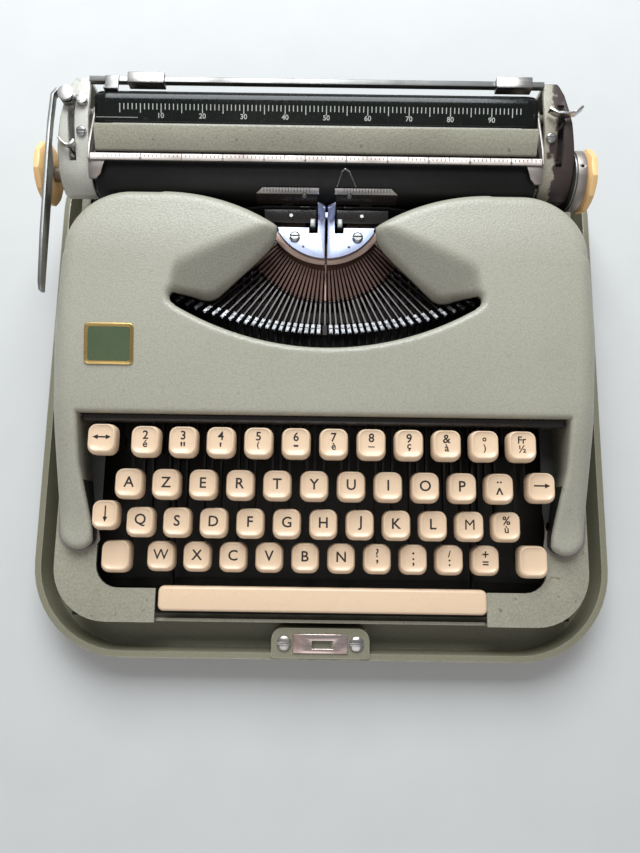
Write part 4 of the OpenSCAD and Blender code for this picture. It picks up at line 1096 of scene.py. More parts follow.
    def drops(self, x: float, y: float, rim: float) -> list[float]:
        """Lists how far each edge near a place lets the sheet drop.

        Args:
            x: The place's X.
            y: The place's Y.
            rim: Its distance to the basket's opening.

        Returns:
            A drop for the opening, the outline, the back and the front.
        """
        shoulder = float(np.interp(y, self.stations, self.shoulders))
        corner_x, corner_y, corner_r = self.corner
        nose_x, nose_y, nose_r = self.nose
        tail_x, tail_y, tail_r = self.tail
        found = [self.roll(rim, float(np.interp(y, (35.0, 46.0), (self.basket_roll, self.wing_roll))))]
        if y < nose_y:
            found.append(self.roll(nose_r - math.hypot(x - nose_x, y - nose_y), shoulder))
        elif x > corner_x and y > corner_y:
            found.append(self.roll(corner_r - math.hypot(x - corner_x, y - corner_y), shoulder))
        else:
            back = tail_r - math.hypot(x - tail_x, y - tail_y) if x < tail_x else self.rear_y - y
            found += [self.roll(self.outer(y) - x, shoulder), self.roll(back, self.tail_roll)]
        if y < self.lip_y:
            front = x - self.inner(y)
        elif x > self.gap_rear:
            front = math.hypot(x - self.gap_rear, y - self.lip_y)
        else:
            front = y - self.lip_y
        return [*found, self.roll(front, self.lip_roll)]

    def height(self, x: float, y: float, rim: float) -> float:
        """Finds the sheet's height: the deck or the slope, a soft crease between them, less the rolled edges.

        Args:
            x: The place's X.
            y: The place's Y.
            rim: Its distance to the basket's opening.

        Returns:
            The height.
        """
        deck, slope = self.top(y), self.flank(x, y)
        blend = max(self.crease - abs(deck - slope), 0.0) / self.crease
        return min(deck, slope) - blend ** 3 * self.crease / 6.0 - max(self.drops(x, y, rim))

    def rows(self) -> list[float]:
        """Lists the cross lines of the grid, closer together at the rolled edges.

        Returns:
            Their Y.
        """
        nose = [self.nose[1] - self.nose[2] * math.sin(math.radians(a)) for a in (88, 80, 70, 58, 45, 30, 15)]
        arms = list(np.linspace(self.nose[1], self.lip_y, 28)[:-1])
        lip = [self.lip_y + d for d in (0.0, 0.25, 0.7, 1.3, 2.1, 3.2)]
        deck = list(np.linspace(self.lip_y + 4.6, self.rear_y - 9.0, 68))
        back = [self.rear_y - d for d in (7.5, 6.0, 4.6, 3.4, 2.4, 1.5, 0.8, 0.3, 0.0)]
        return nose + arms + lip + deck + back

    def build(self) -> None:
        """Models the cover's sheet as a right half that is mirrored, and what belongs to it."""
        opening = self.opening()
        bm = self.grid()
        gone = [f for f in bm.faces if self.cut_away(f.calc_center_median(), opening)]
        bmesh.ops.delete(bm, geom=gone, context="FACES")
        self.trim(bm, opening)
        for v in bm.verts:
            v.co.z = self.height(v.co.x, v.co.y, self.distance(opening, v.co.x, v.co.y)[0])
        self.skirts(bm)
        bmesh.ops.mirror(bm, geom=[*bm.verts, *bm.edges, *bm.faces], axis="X", merge_dist=0.01)
        bmesh.ops.recalc_face_normals(bm, faces=bm.faces)
        if max(bm.faces, key=lambda f: f.calc_center_median().z).normal.z < 0:
            bmesh.ops.reverse_faces(bm, faces=bm.faces)
        cover = settle(bm, "cover_sheet", "cover", BODY, ("top_cover",), 60.0)
        # second material: near-black painted shade for the inner walls of the arms
        cover.data.materials.append(PAINTED_SHADE.build())
        thickened(cover, self.sheet_t)
        self.front_rod()
        self.flanges()
        self.plaque()

    def grid(self) -> bmesh.types.BMesh:
        """Lays a flat grid whose lines follow the outline of the cover's right half.

        Returns:
            The grid.
        """
        rows = self.rows()
        columns, cross = self.across + len(self.arm) - 1, len(rows) - 1
        bm = bmesh.new()
        bmesh.ops.create_grid(bm, x_segments=columns, y_segments=cross, size=1.0)
        for v in bm.verts:
            i, y = round((v.co.x + 1) / 2 * columns), rows[round((v.co.y + 1) / 2 * cross)]
            low, high = self.inner(y), self.outer(y)
            x = low * i / self.across
            if i > self.across:
                x = low + (high - low) * self.arm[i - self.across] / self.arm[-1]
            if y > self.rear_from:
                share = (y - self.rear_from) / (self.rear_y - self.rear_from)
                y = self.rear_from + (self.rear(x) - self.rear_from) * share
            v.co = (x, y, 0.0)
        return bm

    def cut_away(self, middle: Vector, opening: np.ndarray) -> bool:
        """Says whether a face lies in the gap between the arms or in the basket's opening.

        Args:
            middle: The face's middle.
            opening: The opening's outline.

        Returns:
            True where it does.
        """
        x, y = middle.x, middle.y
        if y < self.lip_y and x < self.inner(y):
            return True
        inside = False
        for (ax, ay), (bx, by) in zip(opening, np.roll(opening, -1, axis=0)):
            if (ay > y) != (by > y) and x < (bx - ax) * (y - ay) / (by - ay) + ax:
                inside = not inside
        return inside

    @staticmethod
    def distance(outline: np.ndarray, x: float, y: float) -> tuple[float, float, float]:
        """Measures from a place to an outline.

        Args:
            outline: The outline's places.
            x: The place's X.
            y: The place's Y.

        Returns:
            The distance, and the outline's nearest X and Y.
        """
        p = np.array((x, y))
        a, b = outline, np.roll(outline, -1, axis=0)
        run = b - a
        t = np.clip(np.einsum("ij,ij->i", p - a, run) / np.maximum(np.einsum("ij,ij->i", run, run), 1e-9), 0, 1)
        near = a + run * t[:, None]
        apart = np.hypot(*(near - p).T)
        k = int(apart.argmin())
        return float(apart[k]), float(near[k][0]), float(near[k][1])

    def trim(self, bm: bmesh.types.BMesh, opening: np.ndarray) -> None:
        """Draws the open edge round the basket onto the opening's outline and eases the grid beside it.

        Args:
            bm: The cover's grid.
            opening: The opening's outline.
        """
        rim = [v for v in bm.verts if v.is_boundary and v.co.x < 92.0 and 0.0 < v.co.y < self.rear(v.co.x) - 0.2
               and v.co.x > 0.01]
        for v in rim:
            apart, x, y = self.distance(opening, v.co.x, v.co.y)
            if apart < self.snap:
                v.co.x, v.co.y = x, y
        for v in bm.verts:
            if v.is_boundary and v.co.x < 0.01 and 0.0 < v.co.y < 12.0:
                v.co.y = self.basket_front
        near = [v for v in bm.verts
                if not v.is_boundary and self.distance(opening, v.co.x, v.co.y)[0] < self.ease]
        for _ in range(3):
            bmesh.ops.smooth_vert(bm, verts=near, factor=0.5, use_axis_x=True, use_axis_y=True)
        front = self.basket_front
        for v in (v for v in bm.verts if v.co.x < 0.01 and front - 5.0 < v.co.y < front + 1.0):
            v.co.y = max((e.other_vert(v).co for e in v.link_edges), key=lambda place: place.x).y

    def skirts(self, bm: bmesh.types.BMesh) -> None:
        """Turns the open edges down: the walls outside and beside the keys, and short rims elsewhere. The walls
        beside the keys take a near-black painted shade.

        Args:
            bm: The cover's sheet.
        """
        kinds: dict[str, list[bmesh.types.BMEdge]] = {"wall": [], "rim": []}
        for e in (e for e in bm.edges if e.is_boundary and max(v.co.x for v in e.verts) > 0.01):
            middle = (e.verts[0].co + e.verts[1].co) / 2
            outside = middle.y < self.rear_y - 4 and middle.x > self.outer(middle.y) - 0.5
            kinds["wall" if outside or middle.y < self.lip_y - 0.05 else "rim"].append(e)
        for kind, edges in kinds.items():
            grown = bmesh.ops.extrude_edge_only(bm, edges=edges)["geom"]
            for v in new_verts(grown):
                v.co.z = self.foot(v.co.y) if kind == "wall" else v.co.z - self.rim_depth
            for f in new_faces(grown):
                # painted shade: the walls beside the keys take the near-black second material
                if kind == "wall" and f.calc_center_median().x < self.nose[0] - 4.0:
                    f.material_index = 1

    def foot(self, y: float) -> float:
        """Finds the skirt's lower edge, which is rounded about the hinge so that the cover can swing.

        Args:
            y: Where along the cover.

        Returns:
            The edge's height.
        """
        axis_y, axis_z, round_r = self.hinge
        return max(self.skirt_z, axis_z - self.half_chord(round_r, max(axis_y - y, 0.0)))

    def front_rod(self) -> None:
        """Models the black rubber rod that lies behind the first row of keys, under the cover's lip."""
        bm = bmesh.new()
        box(bm, (-125.4, -31.2, 50.6), (125.4, -24.6, 55.6))
        soften(bm, 2.2, 4)
        settle(bm, "front_rod", "machine", BLACK, smooth=60.0)

    def flanges(self) -> None:
        """Models the bare metal flange round each arm's end, and a near-black sheet of painted shade on the
        ledge inside it.
        """
        nose_x, nose_y, nose_r = self.nose
        lines = []
        for out, side_out in ((self.flange, self.flange_side), (self.flange_in, self.flange_in)):
            side = [(self.outer(y) + side_out, y) for y in np.linspace(self.flange_from, nose_y, 14)]
            front = [(nose_x + (nose_r + (side_out if a > -math.pi / 2 else out)) * math.cos(a),
                      nose_y + (nose_r + out) * math.sin(a)) for a in np.linspace(0.0, -math.pi * 0.86, 18)[1:]]
            lines.append(side + front + [(self.inner(nose_y + 8) - out * 0.6, nose_y + 8)])
        for sign, side_name in ((1, "right"), (-1, "left")):
            # the second piece is a near-black sheet of painted shade, not a real part
            for name, line, finish, slot in (("arm_flange", lines[0] + lines[1][::-1], RULER, Slot.BRIGHT),
                                             ("well_shade_sheet", self.liner, PAINTED_SHADE, Slot.BLACK)):
                bm = bmesh.new()
                plate(bm, [(sign * x, y) for x, y in line], self.ledge_z + 0.03, 0.3)
                bmesh.ops.recalc_face_normals(bm, faces=bm.faces)
                settle(bm, f"{name}_{side_name}", "machine", finish)

    def plaque(self) -> None:
        """Models a plain brass plaque with a bare enamel field on the left lobe."""
        x, y = self.plaque_at
        slope = math.atan2(self.tops[2] - self.tops[1], self.stations[2] - self.stations[1])
        tilt = Matrix.Rotation(slope, 4, "X")
        seat = Matrix.Translation((x, y, self.top(y) - 0.05)) @ tilt
        bm = bmesh.new()
        plate(bm, squared(*self.plaque_size), 0.0, 0.9)
        soften(bm, 0.3)
        face = max(bm.faces, key=lambda f: f.calc_center_median().z)
        bmesh.ops.inset_region(bm, faces=[face], thickness=1.5, depth=-0.35)
        moved(bm, bm.verts, seat)
        settle(bm, "plaque", "cover", BRASS)
        bm = bmesh.new()
        plate(bm, squared(*self.field_size), 0.5, 0.2)
        moved(bm, bm.verts, seat)
        settle(bm, "plaque_field", "cover", GREEN)


@dataclass
class Housing:
    """The lower shell and what stands inside it."""

    edge: float = 1.1

    def build(self) -> None:
        """Rounds the shell's pressed edges and finishes the frame inside."""
        rounded_node("lower_shell", self.edge, SHELL, 3)
        for finish, nodes in ((DARK, ("chassis",)), (BLACK, ("lever_comb",)),
                              (STEEL, ("lever_rod", "carriage_rails", "bell")), (BRASS, ("escapement_wheel",)),
                              (GREY_STEEL, ("mainspring_drum", "spool_left", "spool_right")),
                              (RUBBER, ("feed_rollers",))):
            for node in nodes:
                dressed_node(node, finish)


@dataclass
class Basket:
    """The type segment, its guide plate, its typebars and the holders behind them."""

    middle_y: float = 88.0
    ring_r: float = 33.0
    comb_r: float = 48.5
    per_side: int = 21
    fan: float = 60.5
    type_y: float = 23.0
    type_line: float = 0.0024
    holes: tuple[Point, ...] = ((12.2, 64.6, 58.5), (27.0, 67.4, 57.0))
    platen: Point = (103.0, 60.5, 14.5)
    card_x: Flat = (4.2, 37.2)
    card_angles: Flat = (150.0, 138.0)
    card_slant: float = 3.6
    foot_x: float = 5.0
    foot_angles: Flat = (176.0, 150.4)
    marks: int = 16
    mark_from: float = 9.0
    mark_pitch: float = 1.6
    wire: tuple[Flat, ...] = ((5.2, 0.0), (7.6, 10.6), (9.0, 12.4), (11.2, 10.6), (15.2, 0.0))
    posts: Flat = (18.0, -24.0)

    def reach(self, angle: float) -> float:
        """Finds how far a bar's type lies from the segment's middle.

        Args:
            angle: The bar's angle from the middle one.

        Returns:
            The distance.
        """
        q, drop = self.type_line, self.middle_y - self.type_y
        if abs(math.sin(angle)) < 0.01:
            return drop
        s, c = math.sin(angle) ** 2, math.cos(angle)
        return (-c + math.sqrt(c * c + 4 * q * s * drop)) / (2 * q * s)

    def bar(self, bm: bmesh.types.BMesh, types: bmesh.types.BMesh, k: int) -> None:
        """Adds one typebar and its type.

        Args:
            bm: The bars' workpiece.
            types: The types' workpiece.
            k: How many places it lies from the middle one, to the right.
        """
        angle = math.radians(k * self.fan / self.per_side)
        reach = self.reach(angle)
        z = 43.0 + 5.0 * (k / self.per_side) ** 2
        root_z = 47.0 + 4.0 * (k / self.per_side) ** 2
        turn = Matrix.Translation((0, self.middle_y, 0)) @ Matrix.Rotation(angle, 4, "Z")
        verts = box(bm, (-0.4, -reach - 2, z - 1.5), (0.4, -self.comb_r, z + 1.5))
        verts += box(bm, (-0.62, -self.comb_r + 0.3, z - 1.2), (0.62, -self.ring_r - 0.02, z + 1.8))
        for v in verts:
            if v.co.y > -self.ring_r - 1:
                v.co.z = root_z + (2.5 if v.co.z > z else -2.5)
                v.co.x *= 0.85
        moved(bm, verts, turn)
        self.type_head(types, turn @ Matrix.Translation((0, -reach, z)))

    @staticmethod
    def type_head(bm: bmesh.types.BMesh, seat: Matrix) -> None:
        """Adds one type block with the faces of its two characters.

        Args:
            bm: The types' workpiece.
            seat: Where it goes.
        """
        verts = box(bm, (-1.15, -2.6, -2.0), (1.15, 2.6, 2.3))
        for v in verts:
            if v.co.z > 0:
                v.co.x *= 0.8
        verts += box(bm, (-0.75, -2.2, 2.2), (0.75, -0.5, 2.95)) + box(bm, (-0.75, 0.6, 2.2), (0.75, 2.2, 2.95))
        moved(bm, verts, seat)

    def build(self) -> None:
        """Models ring, plate, bars and types."""
        rounded_node("segment", 0.35, COPPER)
        rounded_node("type_guide", 0.22, PLATE_STEEL)
        rounded_node("segment_screws", 0.12, GREY_STEEL)
        dots = bmesh.new()
        for x, y, z in self.holes:
            for sign in (1, -1):
                rod(dots, (sign * x, y, z - 0.3), (sign * x, y, z + 0.06), 0.7)
        settle(dots, "segment_holes", "basket", INK)
        bars, types = bmesh.new(), bmesh.new()
        for k in range(-self.per_side, self.per_side + 1):
            if k:
                self.bar(bars, types, k)
        settle(bars, "typebar_set", "basket", BARS, ("typebars",))
        settle(types, "type_set", "basket", TYPES)
        dressed_node("typebar_h", BARS)
        rounded_node("typebar_rest", 0.4, FELT)
        self.holders()
        self.panels()
        rounded_node("ribbon_vibrator", 0.12, DARK)

    def on_platen(self, degrees: float, out: float) -> Flat:
        """Finds a place round the platen.

        Args:
            degrees: Its angle from the back, over the top.
            out: How far it lies off the platen's skin.

        Returns:
            Its Y and Z.
        """
        y, z, r = self.platen
        a = math.radians(degrees)
        return y + (r + out) * math.cos(a), z + (r + out) * math.sin(a)

    def curved(self, ends: Flat, angles: Flat, slant: float = 0.0) -> bmesh.types.BMesh:
        """Makes a thin plate that follows the platen.

        Args:
            ends: X of its inner and its outer end.
            angles: Its lower and its upper angle.
            slant: How far its outer end draws in towards the top.

        Returns:
            The plate.
        """
        bm = bmesh.new()
        bmesh.ops.create_grid(bm, x_segments=8, y_segments=5, size=1.0)
        for v in bm.verts:
            up = (v.co.y + 1) / 2
            end = ends[1] - math.copysign(slant * up, ends[1] - ends[0])
            x = ends[0] + (end - ends[0]) * (v.co.x + 1) / 2
            v.co = (x, *self.on_platen(angles[0] + (angles[1] - angles[0]) * up, 1.25))
        bmesh.ops.recalc_face_normals(bm, faces=bm.faces)
        if next(iter(bm.faces)).normal.z < 0:
            bmesh.ops.reverse_faces(bm, faces=bm.faces)
        bmesh.ops.solidify(bm, geom=bm.faces[:], thickness=0.6)
        return bm

    def holders(self) -> None:
        """Models the silver card holders in front of the platen, their dark feet and the pointer wire."""
        bright, dark, marks, bolts = (bmesh.new() for _ in range(4))
        mark_y, mark_z = self.on_platen(140.0, 1.45)
        for sign in (1, -1):
            x0, x1 = (sign * x for x in self.card_x)
            joined(bright, self.curved((x0, x1), self.card_angles, self.card_slant), Matrix())
            joined(dark, self.curved((sign * self.foot_x, x1), self.foot_angles), Matrix())
            foot, head = self.on_platen(151.0, 1.0), self.on_platen(151.0, 3.0)
            rod(bolts, (sign * 11.8, *foot), (sign * 11.8, *head), 1.3, 1.1)
            rod(bolts, (sign * 18.8, 80.4, 59.8), (sign * 18.8, 80.4, 62.4), 1.15, 0.95)
            for k in range(self.marks):
                x = sign * (self.mark_from + self.mark_pitch * k)
                box(marks, (x - 0.12, mark_y - 1.2, mark_z - 1.5), (x + 0.12, mark_y, mark_z + 0.1))
        moved(marks, marks.verts, Matrix.Translation((0, 0.2, 0.35)))
        settle(bolts, "holder_bolts", "machine", GREY_STEEL)
        settle(dark, "holder_feet", "machine", BLACK)
        settle(marks, "holder_marks", "machine", INK)
        tilt = Matrix.Translation((0, 92.2, 71.2)) @ Matrix.Rotation(math.radians(77), 4, "X")
        for a, b in zip(self.wire, self.wire[1:]):
            moved(bright, rod(bright, (*a, 0.0), (*b, 0.0), 0.42, sides=12), tilt)
        for x in self.posts:
            box(bright, (x, 87.4, 34.7), (x + 6.0, 88.0, 62.5))
        settle(bright, "card_holders_plated", "machine", STEEL, ("card_holders",))

    def panels(self) -> None:
        """Models the dark panels beside the type guide, with their grey stops."""
        dark, grey = bmesh.new(), bmesh.new()
        for sign in (1, -1):
            low, high = sorted((sign * 5.4, sign * 33.0))
            for v in box(dark, (low, 77.6, 58.9), (high, 84.0, 59.8)):
                v.co.z += (v.co.y - 77.6) * 0.28
            low, high = sorted((sign * 5.9, sign * 8.6))
            box(grey, (low, 75.0, 55.4), (high, 79.6, 60.6))
        soften(dark, 0.2)
        soften(grey, 0.3)
        settle(dark, "guide_panels", "machine", BLACK)
        settle(grey, "guide_stops", "basket", GREY_STEEL)


@dataclass
class Ribbon:
    """The inked ribbon between the two spools."""

    thick: float = 0.12
    skin: float = 0.15
    guide_x: float = 33.0
    bend_x: float = 50.0
    bend_back: float = 2.5

    def build(self) -> None:
        """Models the ribbon as a strip that follows its node's middle."""
        low, high = (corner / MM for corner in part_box("ribbon"))
        y0, y1 = low.y + self.skin, high.y - self.skin
        line = [(-high.x, y0), (-self.bend_x, y1 - self.bend_back), (-self.guide_x, y1), (self.guide_x, y1),
                (self.bend_x, y1 - self.bend_back), (high.x, y0)]
        width = high.z - low.z
        bm = bmesh.new()
        verts = [bm.verts.new((x, y, low.z)) for x, y in line]
        edges = [bm.edges.new(pair) for pair in zip(verts, verts[1:])]
        grown = bmesh.ops.extrude_edge_only(bm, edges=edges)["geom"]
        bmesh.ops.translate(bm, verts=new_verts(grown), vec=(0, 0, width))
        bmesh.ops.subdivide_edges(bm, edges=bm.edges, cuts=3, use_grid_fill=True)
        strip = settle(bm, "ribbon_strip", "machine", CLOTH, ("ribbon",))
        solid = strip.modifiers.new("cloth", "SOLIDIFY")
        solid.thickness = self.thick * MM


@dataclass
class Carriage:
    """The carriage: housings, platen, paper table, scales, levers and knobs."""

    middle_x: float = -6.0
    half: float = 113.6
    tick_pitch: float = 2.117
    first_tick: float = -106.7
    ticks: int = 98
    tick_y: float = 129.4
    number_y: float = 123.7
    number_size: float = 3.6
    rule_y: float = 122.6
    bail_y: float = 103.1
    bail_z: float = 78.3
    plate_low: Flat = (120.2, 81.5)
    plate_end_y: float = 137.4
    plate_tilt: float = 13.5
    plate_turn: float = 48.0
    plate_roll: float = 6.0
    plate_corner: float = 6.0
    plate_t: float = 0.8

    def build(self) -> None:
        """Models and finishes the carriage from the bed up."""
        dressed_node("carriage_bed", DARK)
        for side, finish in (("left", HOUSING), ("right", WORN)):
            rounded_node(f"carriage_end_{side}", 0.9, finish, 3)
            rounded_node(f"knob_{side}", 0.45, KNOB, 2, 28.0)
            rounded_node(f"margin_stop_{side}", 0.4, CHROME)
        for node, width, finish, slot in (
                ("platen", 0.5, PLATEN, Slot.PLATEN), ("clutch_ring", 0.5, RULER, Slot.CHROME),
                ("platen_shaft", 0.3, GREY_STEEL, Slot.GREY), ("ratchet_wheel", 0.1, STEEL, Slot.GREY),
                ("return_lever", 0.35, GREY_STEEL, Slot.CHROME), ("line_space_lever", 0.3, CHROME, Slot.CHROME),
                ("release_lever", 0.3, CHROME, Slot.CHROME), ("paper_bail", 0.2, RULER, Slot.CHROME),
                ("paper_table", 0.5, SHELL, Slot.BODY), ("margin_rail", 0.2, GREY_STEEL, Slot.BRIGHT)):
            rounded_node(node, width, finish)
        self.scale_plate()
        rounded_node("carriage_screws", 0.15, STEEL)
        self.scale_lines()
        self.bail_lines()

    def tick_x(self, k: int) -> float:
        """Returns X of the scales' k-th line."""
        return self.first_tick + k * self.tick_pitch

    def scale_lines(self) -> None:
        """Models the scale plate's lines and numbers."""
        bm = bmesh.new()
        for k in range(self.ticks):
            line = box(bm, (-0.23, -3.0 if k % 5 else -4.6, -0.03), (0.23, 0.0, 0.05))
            moved(bm, line, self.on_plate(self.tick_x(k), self.tick_y))
            if k % 10 == 0 and k:
                number = lettering(str(k), self.number_size, -0.05)
                joined(bm, number, self.on_plate(self.tick_x(k), self.number_y))
        moved(bm, box(bm, (-119.0, -0.12, -0.03), (-97.5, 0.12, 0.05)), self.on_plate(0.0, self.rule_y))
        settle(bm, "scale_lines", "carriage", WHITE)

    def bail_lines(self) -> None:
        """Models the fine lines and numbers on the paper bail."""
        bm = bmesh.new()
        y, z = self.bail_y, self.bail_z
        for k in range(-4, 104):
            x = self.tick_x(k)
            box(bm, (x - 0.2, y, z), (x + 0.2, y + (1.2 if k % 5 else 1.8), z + 0.16))
            if k % 10 == 5 and 0 < k < 100:
                joined(bm, lettering(str(k // 10), 2.4, -0.08), Matrix.Translation((x, y - 0.9, z + 0.12)))
        settle(bm, "bail_lines", "paper_bail", INK)

    def on_plate(self, x: float, y: float) -> Matrix:
        """Finds the seat of a line on the scale plate's face.

        Args:
            x: The line's X.
            y: The line's Y.

        Returns:
            Its place and slope.
        """
        low_y, low_z = self.plate_low
        slope = math.radians(self.plate_tilt)
        seat = Matrix.Translation((x, y, low_z + (y - low_y) * math.tan(slope) + 0.05))
        return seat @ Matrix.Rotation(slope, 4, "X")

    def scale_plate(self) -> None:
        """Models the scale plate: a sloping sheet whose upper edge rolls over, with round upper corners."""
        low_y, low_z = self.plate_low
        r, slope, end = self.plate_roll, math.radians(self.plate_tilt), math.radians(self.plate_turn)
        centre_y = self.plate_end_y - r * math.sin(end)
        start_y = centre_y - r * math.sin(slope)
        centre_z = low_z + (start_y - low_y) * math.tan(slope) - r * math.cos(slope)
        profile = [(y, low_z + (y - low_y) * math.tan(slope)) for y in np.linspace(low_y, start_y, 10)[:-1]]
        profile += [(centre_y + r * math.sin(a), centre_z + r * math.cos(a))
                    for a in np.linspace(-slope, end, 9)]
        rows, round_r = len(profile) - 1, self.plate_corner
        bm = bmesh.new()
        bmesh.ops.create_grid(bm, x_segments=40, y_segments=rows, size=1.0)
        for v in bm.verts:
            y, z = profile[round((v.co.y + 1) / 2 * rows)]
            into = max(y - (self.plate_end_y - round_r), 0.0)
            half = self.half - round_r + math.sqrt(max(round_r ** 2 - into ** 2, 0.0))
            v.co = (self.middle_x + v.co.x * half, y, z)
        sheet = settle(bm, "scale_plate", "carriage", PLATE, ("margin_scale",), 60.0)
        thickened(sheet, self.plate_t)


@dataclass
class Keyboard:
    """Key tops with their legends, key levers and space bar.

    A row is its distance in front of the frame's middle, its crest's height and X of its first key. A special
    key is its X, that distance, that height, its width and its depth. A ring of the profile is its share of
    the key top's size, its drop from the crest and how far it lies to the back.
    """

    rows: tuple[Point, ...] = ((41.8, 62.0, -89.8), (62.6, 53.0, -99.4), (81.9, 46.0, -94.4),
                               (99.5, 38.0, -84.7))
    legends: tuple[str, ...] = ("2/é 3/\" 4/' 5/( 6/- 7/è 8/_ 9/ç &/à °/) Fr/½",
                                "A Z E R T Y U I O P ¨/^", "Q S D F G H J K L M %/ù",
                                "W X C V B N ?/, ./; //: +/=")
    h_place: tuple[int, int] = (3, 5)
    pitch: float = 19.0
    width: float = 14.8
    depth: float = 15.8
    cap_h: float = 6.0
    corner: float = 4.3
    smooth: float = 50.0
    profile: tuple[Point, ...] = (
        (1.0, -4.2, 0.0), (0.995, -3.0, 0.0), (0.98, -2.1, 0.06), (0.955, -1.35, 0.15), (0.92, -0.72, 0.28),
        (0.885, -0.3, 0.4), (0.855, -0.08, 0.5), (0.83, 0.0, 0.58), (0.8, -0.07, 0.64), (0.765, -0.3, 0.68),
        (0.69, -0.62, 0.7), (0.53, -0.9, 0.7), (0.34, -1.04, 0.7), (0.12, -1.1, 0.7))
    dish_y: float = 0.7
    dish_shares: tuple[float, ...] = (0.12, 0.34, 0.53, 0.69, 0.765, 0.8)
    dish_drops: tuple[float, ...] = (-1.1, -1.04, -0.9, -0.62, -0.3, -0.07)
    specials: dict[str, tuple[float, float, float, float, float]] = field(default_factory=lambda: {
        "margin_release": (-111.8, 41.0, 62.0, 14.8, 15.8), "tabulator": (112.0, 61.9, 53.0, 14.8, 15.8),
        "shift_lock": (-112.3, 78.6, 47.5, 14.0, 15.4), "shift_left": (-108.3, 99.9, 38.0, 15.8, 17.0),
        "shift_right": (111.4, 99.9, 38.0, 15.8, 17.0)})
    arrows: dict[str, tuple[float, bool]] = field(default_factory=lambda: {
        "margin_release": (0.0, True), "tabulator": (0.0, False), "shift_lock": (-90.0, False)})
    letter_size: float = 7.7
    letter_y: float = 0.3
    upper: Flat = (6.1, 2.6)
    upper_long: float = 5.0
    lower: Flat = (5.2, -2.0)
    thin: dict[str, float] = field(default_factory=lambda: {"M": 0.0, "W": -0.04})
    sizes: dict[str, float] = field(default_factory=lambda: {
        '"': 8.5, "'": 8.5, "-": 9.0, "_": 6.0, "(": 4.0, ")": 4.6, ".": 8.0, ",": 8.0, ":": 7.0, ";": 7.0,
        "^": 8.5, "¨": 8.5, "°": 7.0, "+": 6.6, "=": 6.2, "/": 4.8})
    space_depth: float = 13.0
    space_top: float = 4.0
    space_round: float = 1.7

    def cap(self, bm: bmesh.types.BMesh, x: float, y: float, top: float, w: float, d: float) -> None:
        """Adds one key top: a rounded pillow with a crest round a finger dish that lies a little to the back.

        Args:
            bm: The workpiece.
            x: The key's X.
            y: How far it lies in front of the frame's middle.
            top: The height of its crest.
            w: Its width.
            d: Its depth.
        """
        base = [bm.verts.new((x + px, py - y, top - self.cap_h)) for px, py in self.around(w, d, 1.0)]
        face = bm.faces.new(base)
        last = 0.0
        for share, drop, back in self.profile:
            grown = bmesh.ops.extrude_face_region(bm, geom=[face, *face.edges])["geom"]
            face = new_faces(grown)[0]
            ring = sorted(new_verts(grown), key=lambda v: math.atan2(v.co.y + y - last, v.co.x - x))
            for v, (px, py) in zip(ring, self.around(w, d, share)):
                v.co = (x + px, py - y + back, top + drop)
            last = back

    def around(self, w: float, d: float, share: float) -> list[Flat]:
        """Draws a ring of a key top, rounder towards the dish's middle.

        Args:
            w: The key top's width.
            d: Its depth.
            share: The ring's share of the key top's size.

        Returns:
            The ring's places about its middle.
        """
        rounder = min(max((0.7 - share) / 0.4, 0.0), 1.0)
        ring = []
        for px, py in sorted(squared(w, d, self.corner, 4), key=lambda p: math.atan2(p[1], p[0])):
            reach = math.hypot(px, py)
            goal = (1 - rounder) * reach + rounder * min(w, d) * 0.5
            ring.append((px * share * goal / reach, py * share * goal / reach))
        return ring

    def dish_z(self, dx: float, dy: float) -> float:
        """Returns the drop of the dish at a place from its middle."""
        share = max(abs(dx) / self.width, abs(dy) / self.depth) * 2.0
        return float(np.interp(share, self.dish_shares, self.dish_drops))

    def sign(self, bm: bmesh.types.BMesh, glyph: bmesh.types.BMesh, seat: Point, dy: float) -> None:
        """Lays one legend into a key's dish, cut fine enough to follow it.

        Args:
            bm: The legends' workpiece.
            glyph: The legend.
            seat: The key's X, its distance in front of the frame's middle and the height of its crest.
            dy: How far the legend lies behind the dish's middle.
        """
        for k in range(-5, 6):
            for normal in ((0, 1, 0), (1, 0, 0)):
                bmesh.ops.bisect_plane(glyph, geom=[*glyph.verts, *glyph.edges, *glyph.faces],
                                       plane_co=tuple(c * k * 0.8 for c in normal), plane_no=normal)
        for v in glyph.verts:
            v.co.y += dy
            v.co.z += self.dish_z(v.co.x, v.co.y) + 0.02
        x, y, top = seat
        joined(bm, glyph, Matrix.Translation((x, self.dish_y - y, top)))

    @staticmethod
    def arrow(degrees: float, both: bool) -> bmesh.types.BMesh:
        """Makes an arrow about the origin.

        Args:
            degrees: Its direction, from the right to the back.
            both: Whether it has a head at both ends.

        Returns:
            The arrow.
        """
        bm = bmesh.new()
        verts = box(bm, (-3.7, -0.38, -0.04), (3.7, 0.38, 0.05))
        for end in (1, -1) if both else (1,):
            ring = [(end * 2.0, -1.25), (end * 4.7, 0.0), (end * 2.0, 1.25)]
            verts += plate(bm, ring if end > 0 else ring[::-1], -0.04, 0.09)
        moved(bm, verts, Matrix.Rotation(math.radians(degrees), 4, "Z"))
        return bm

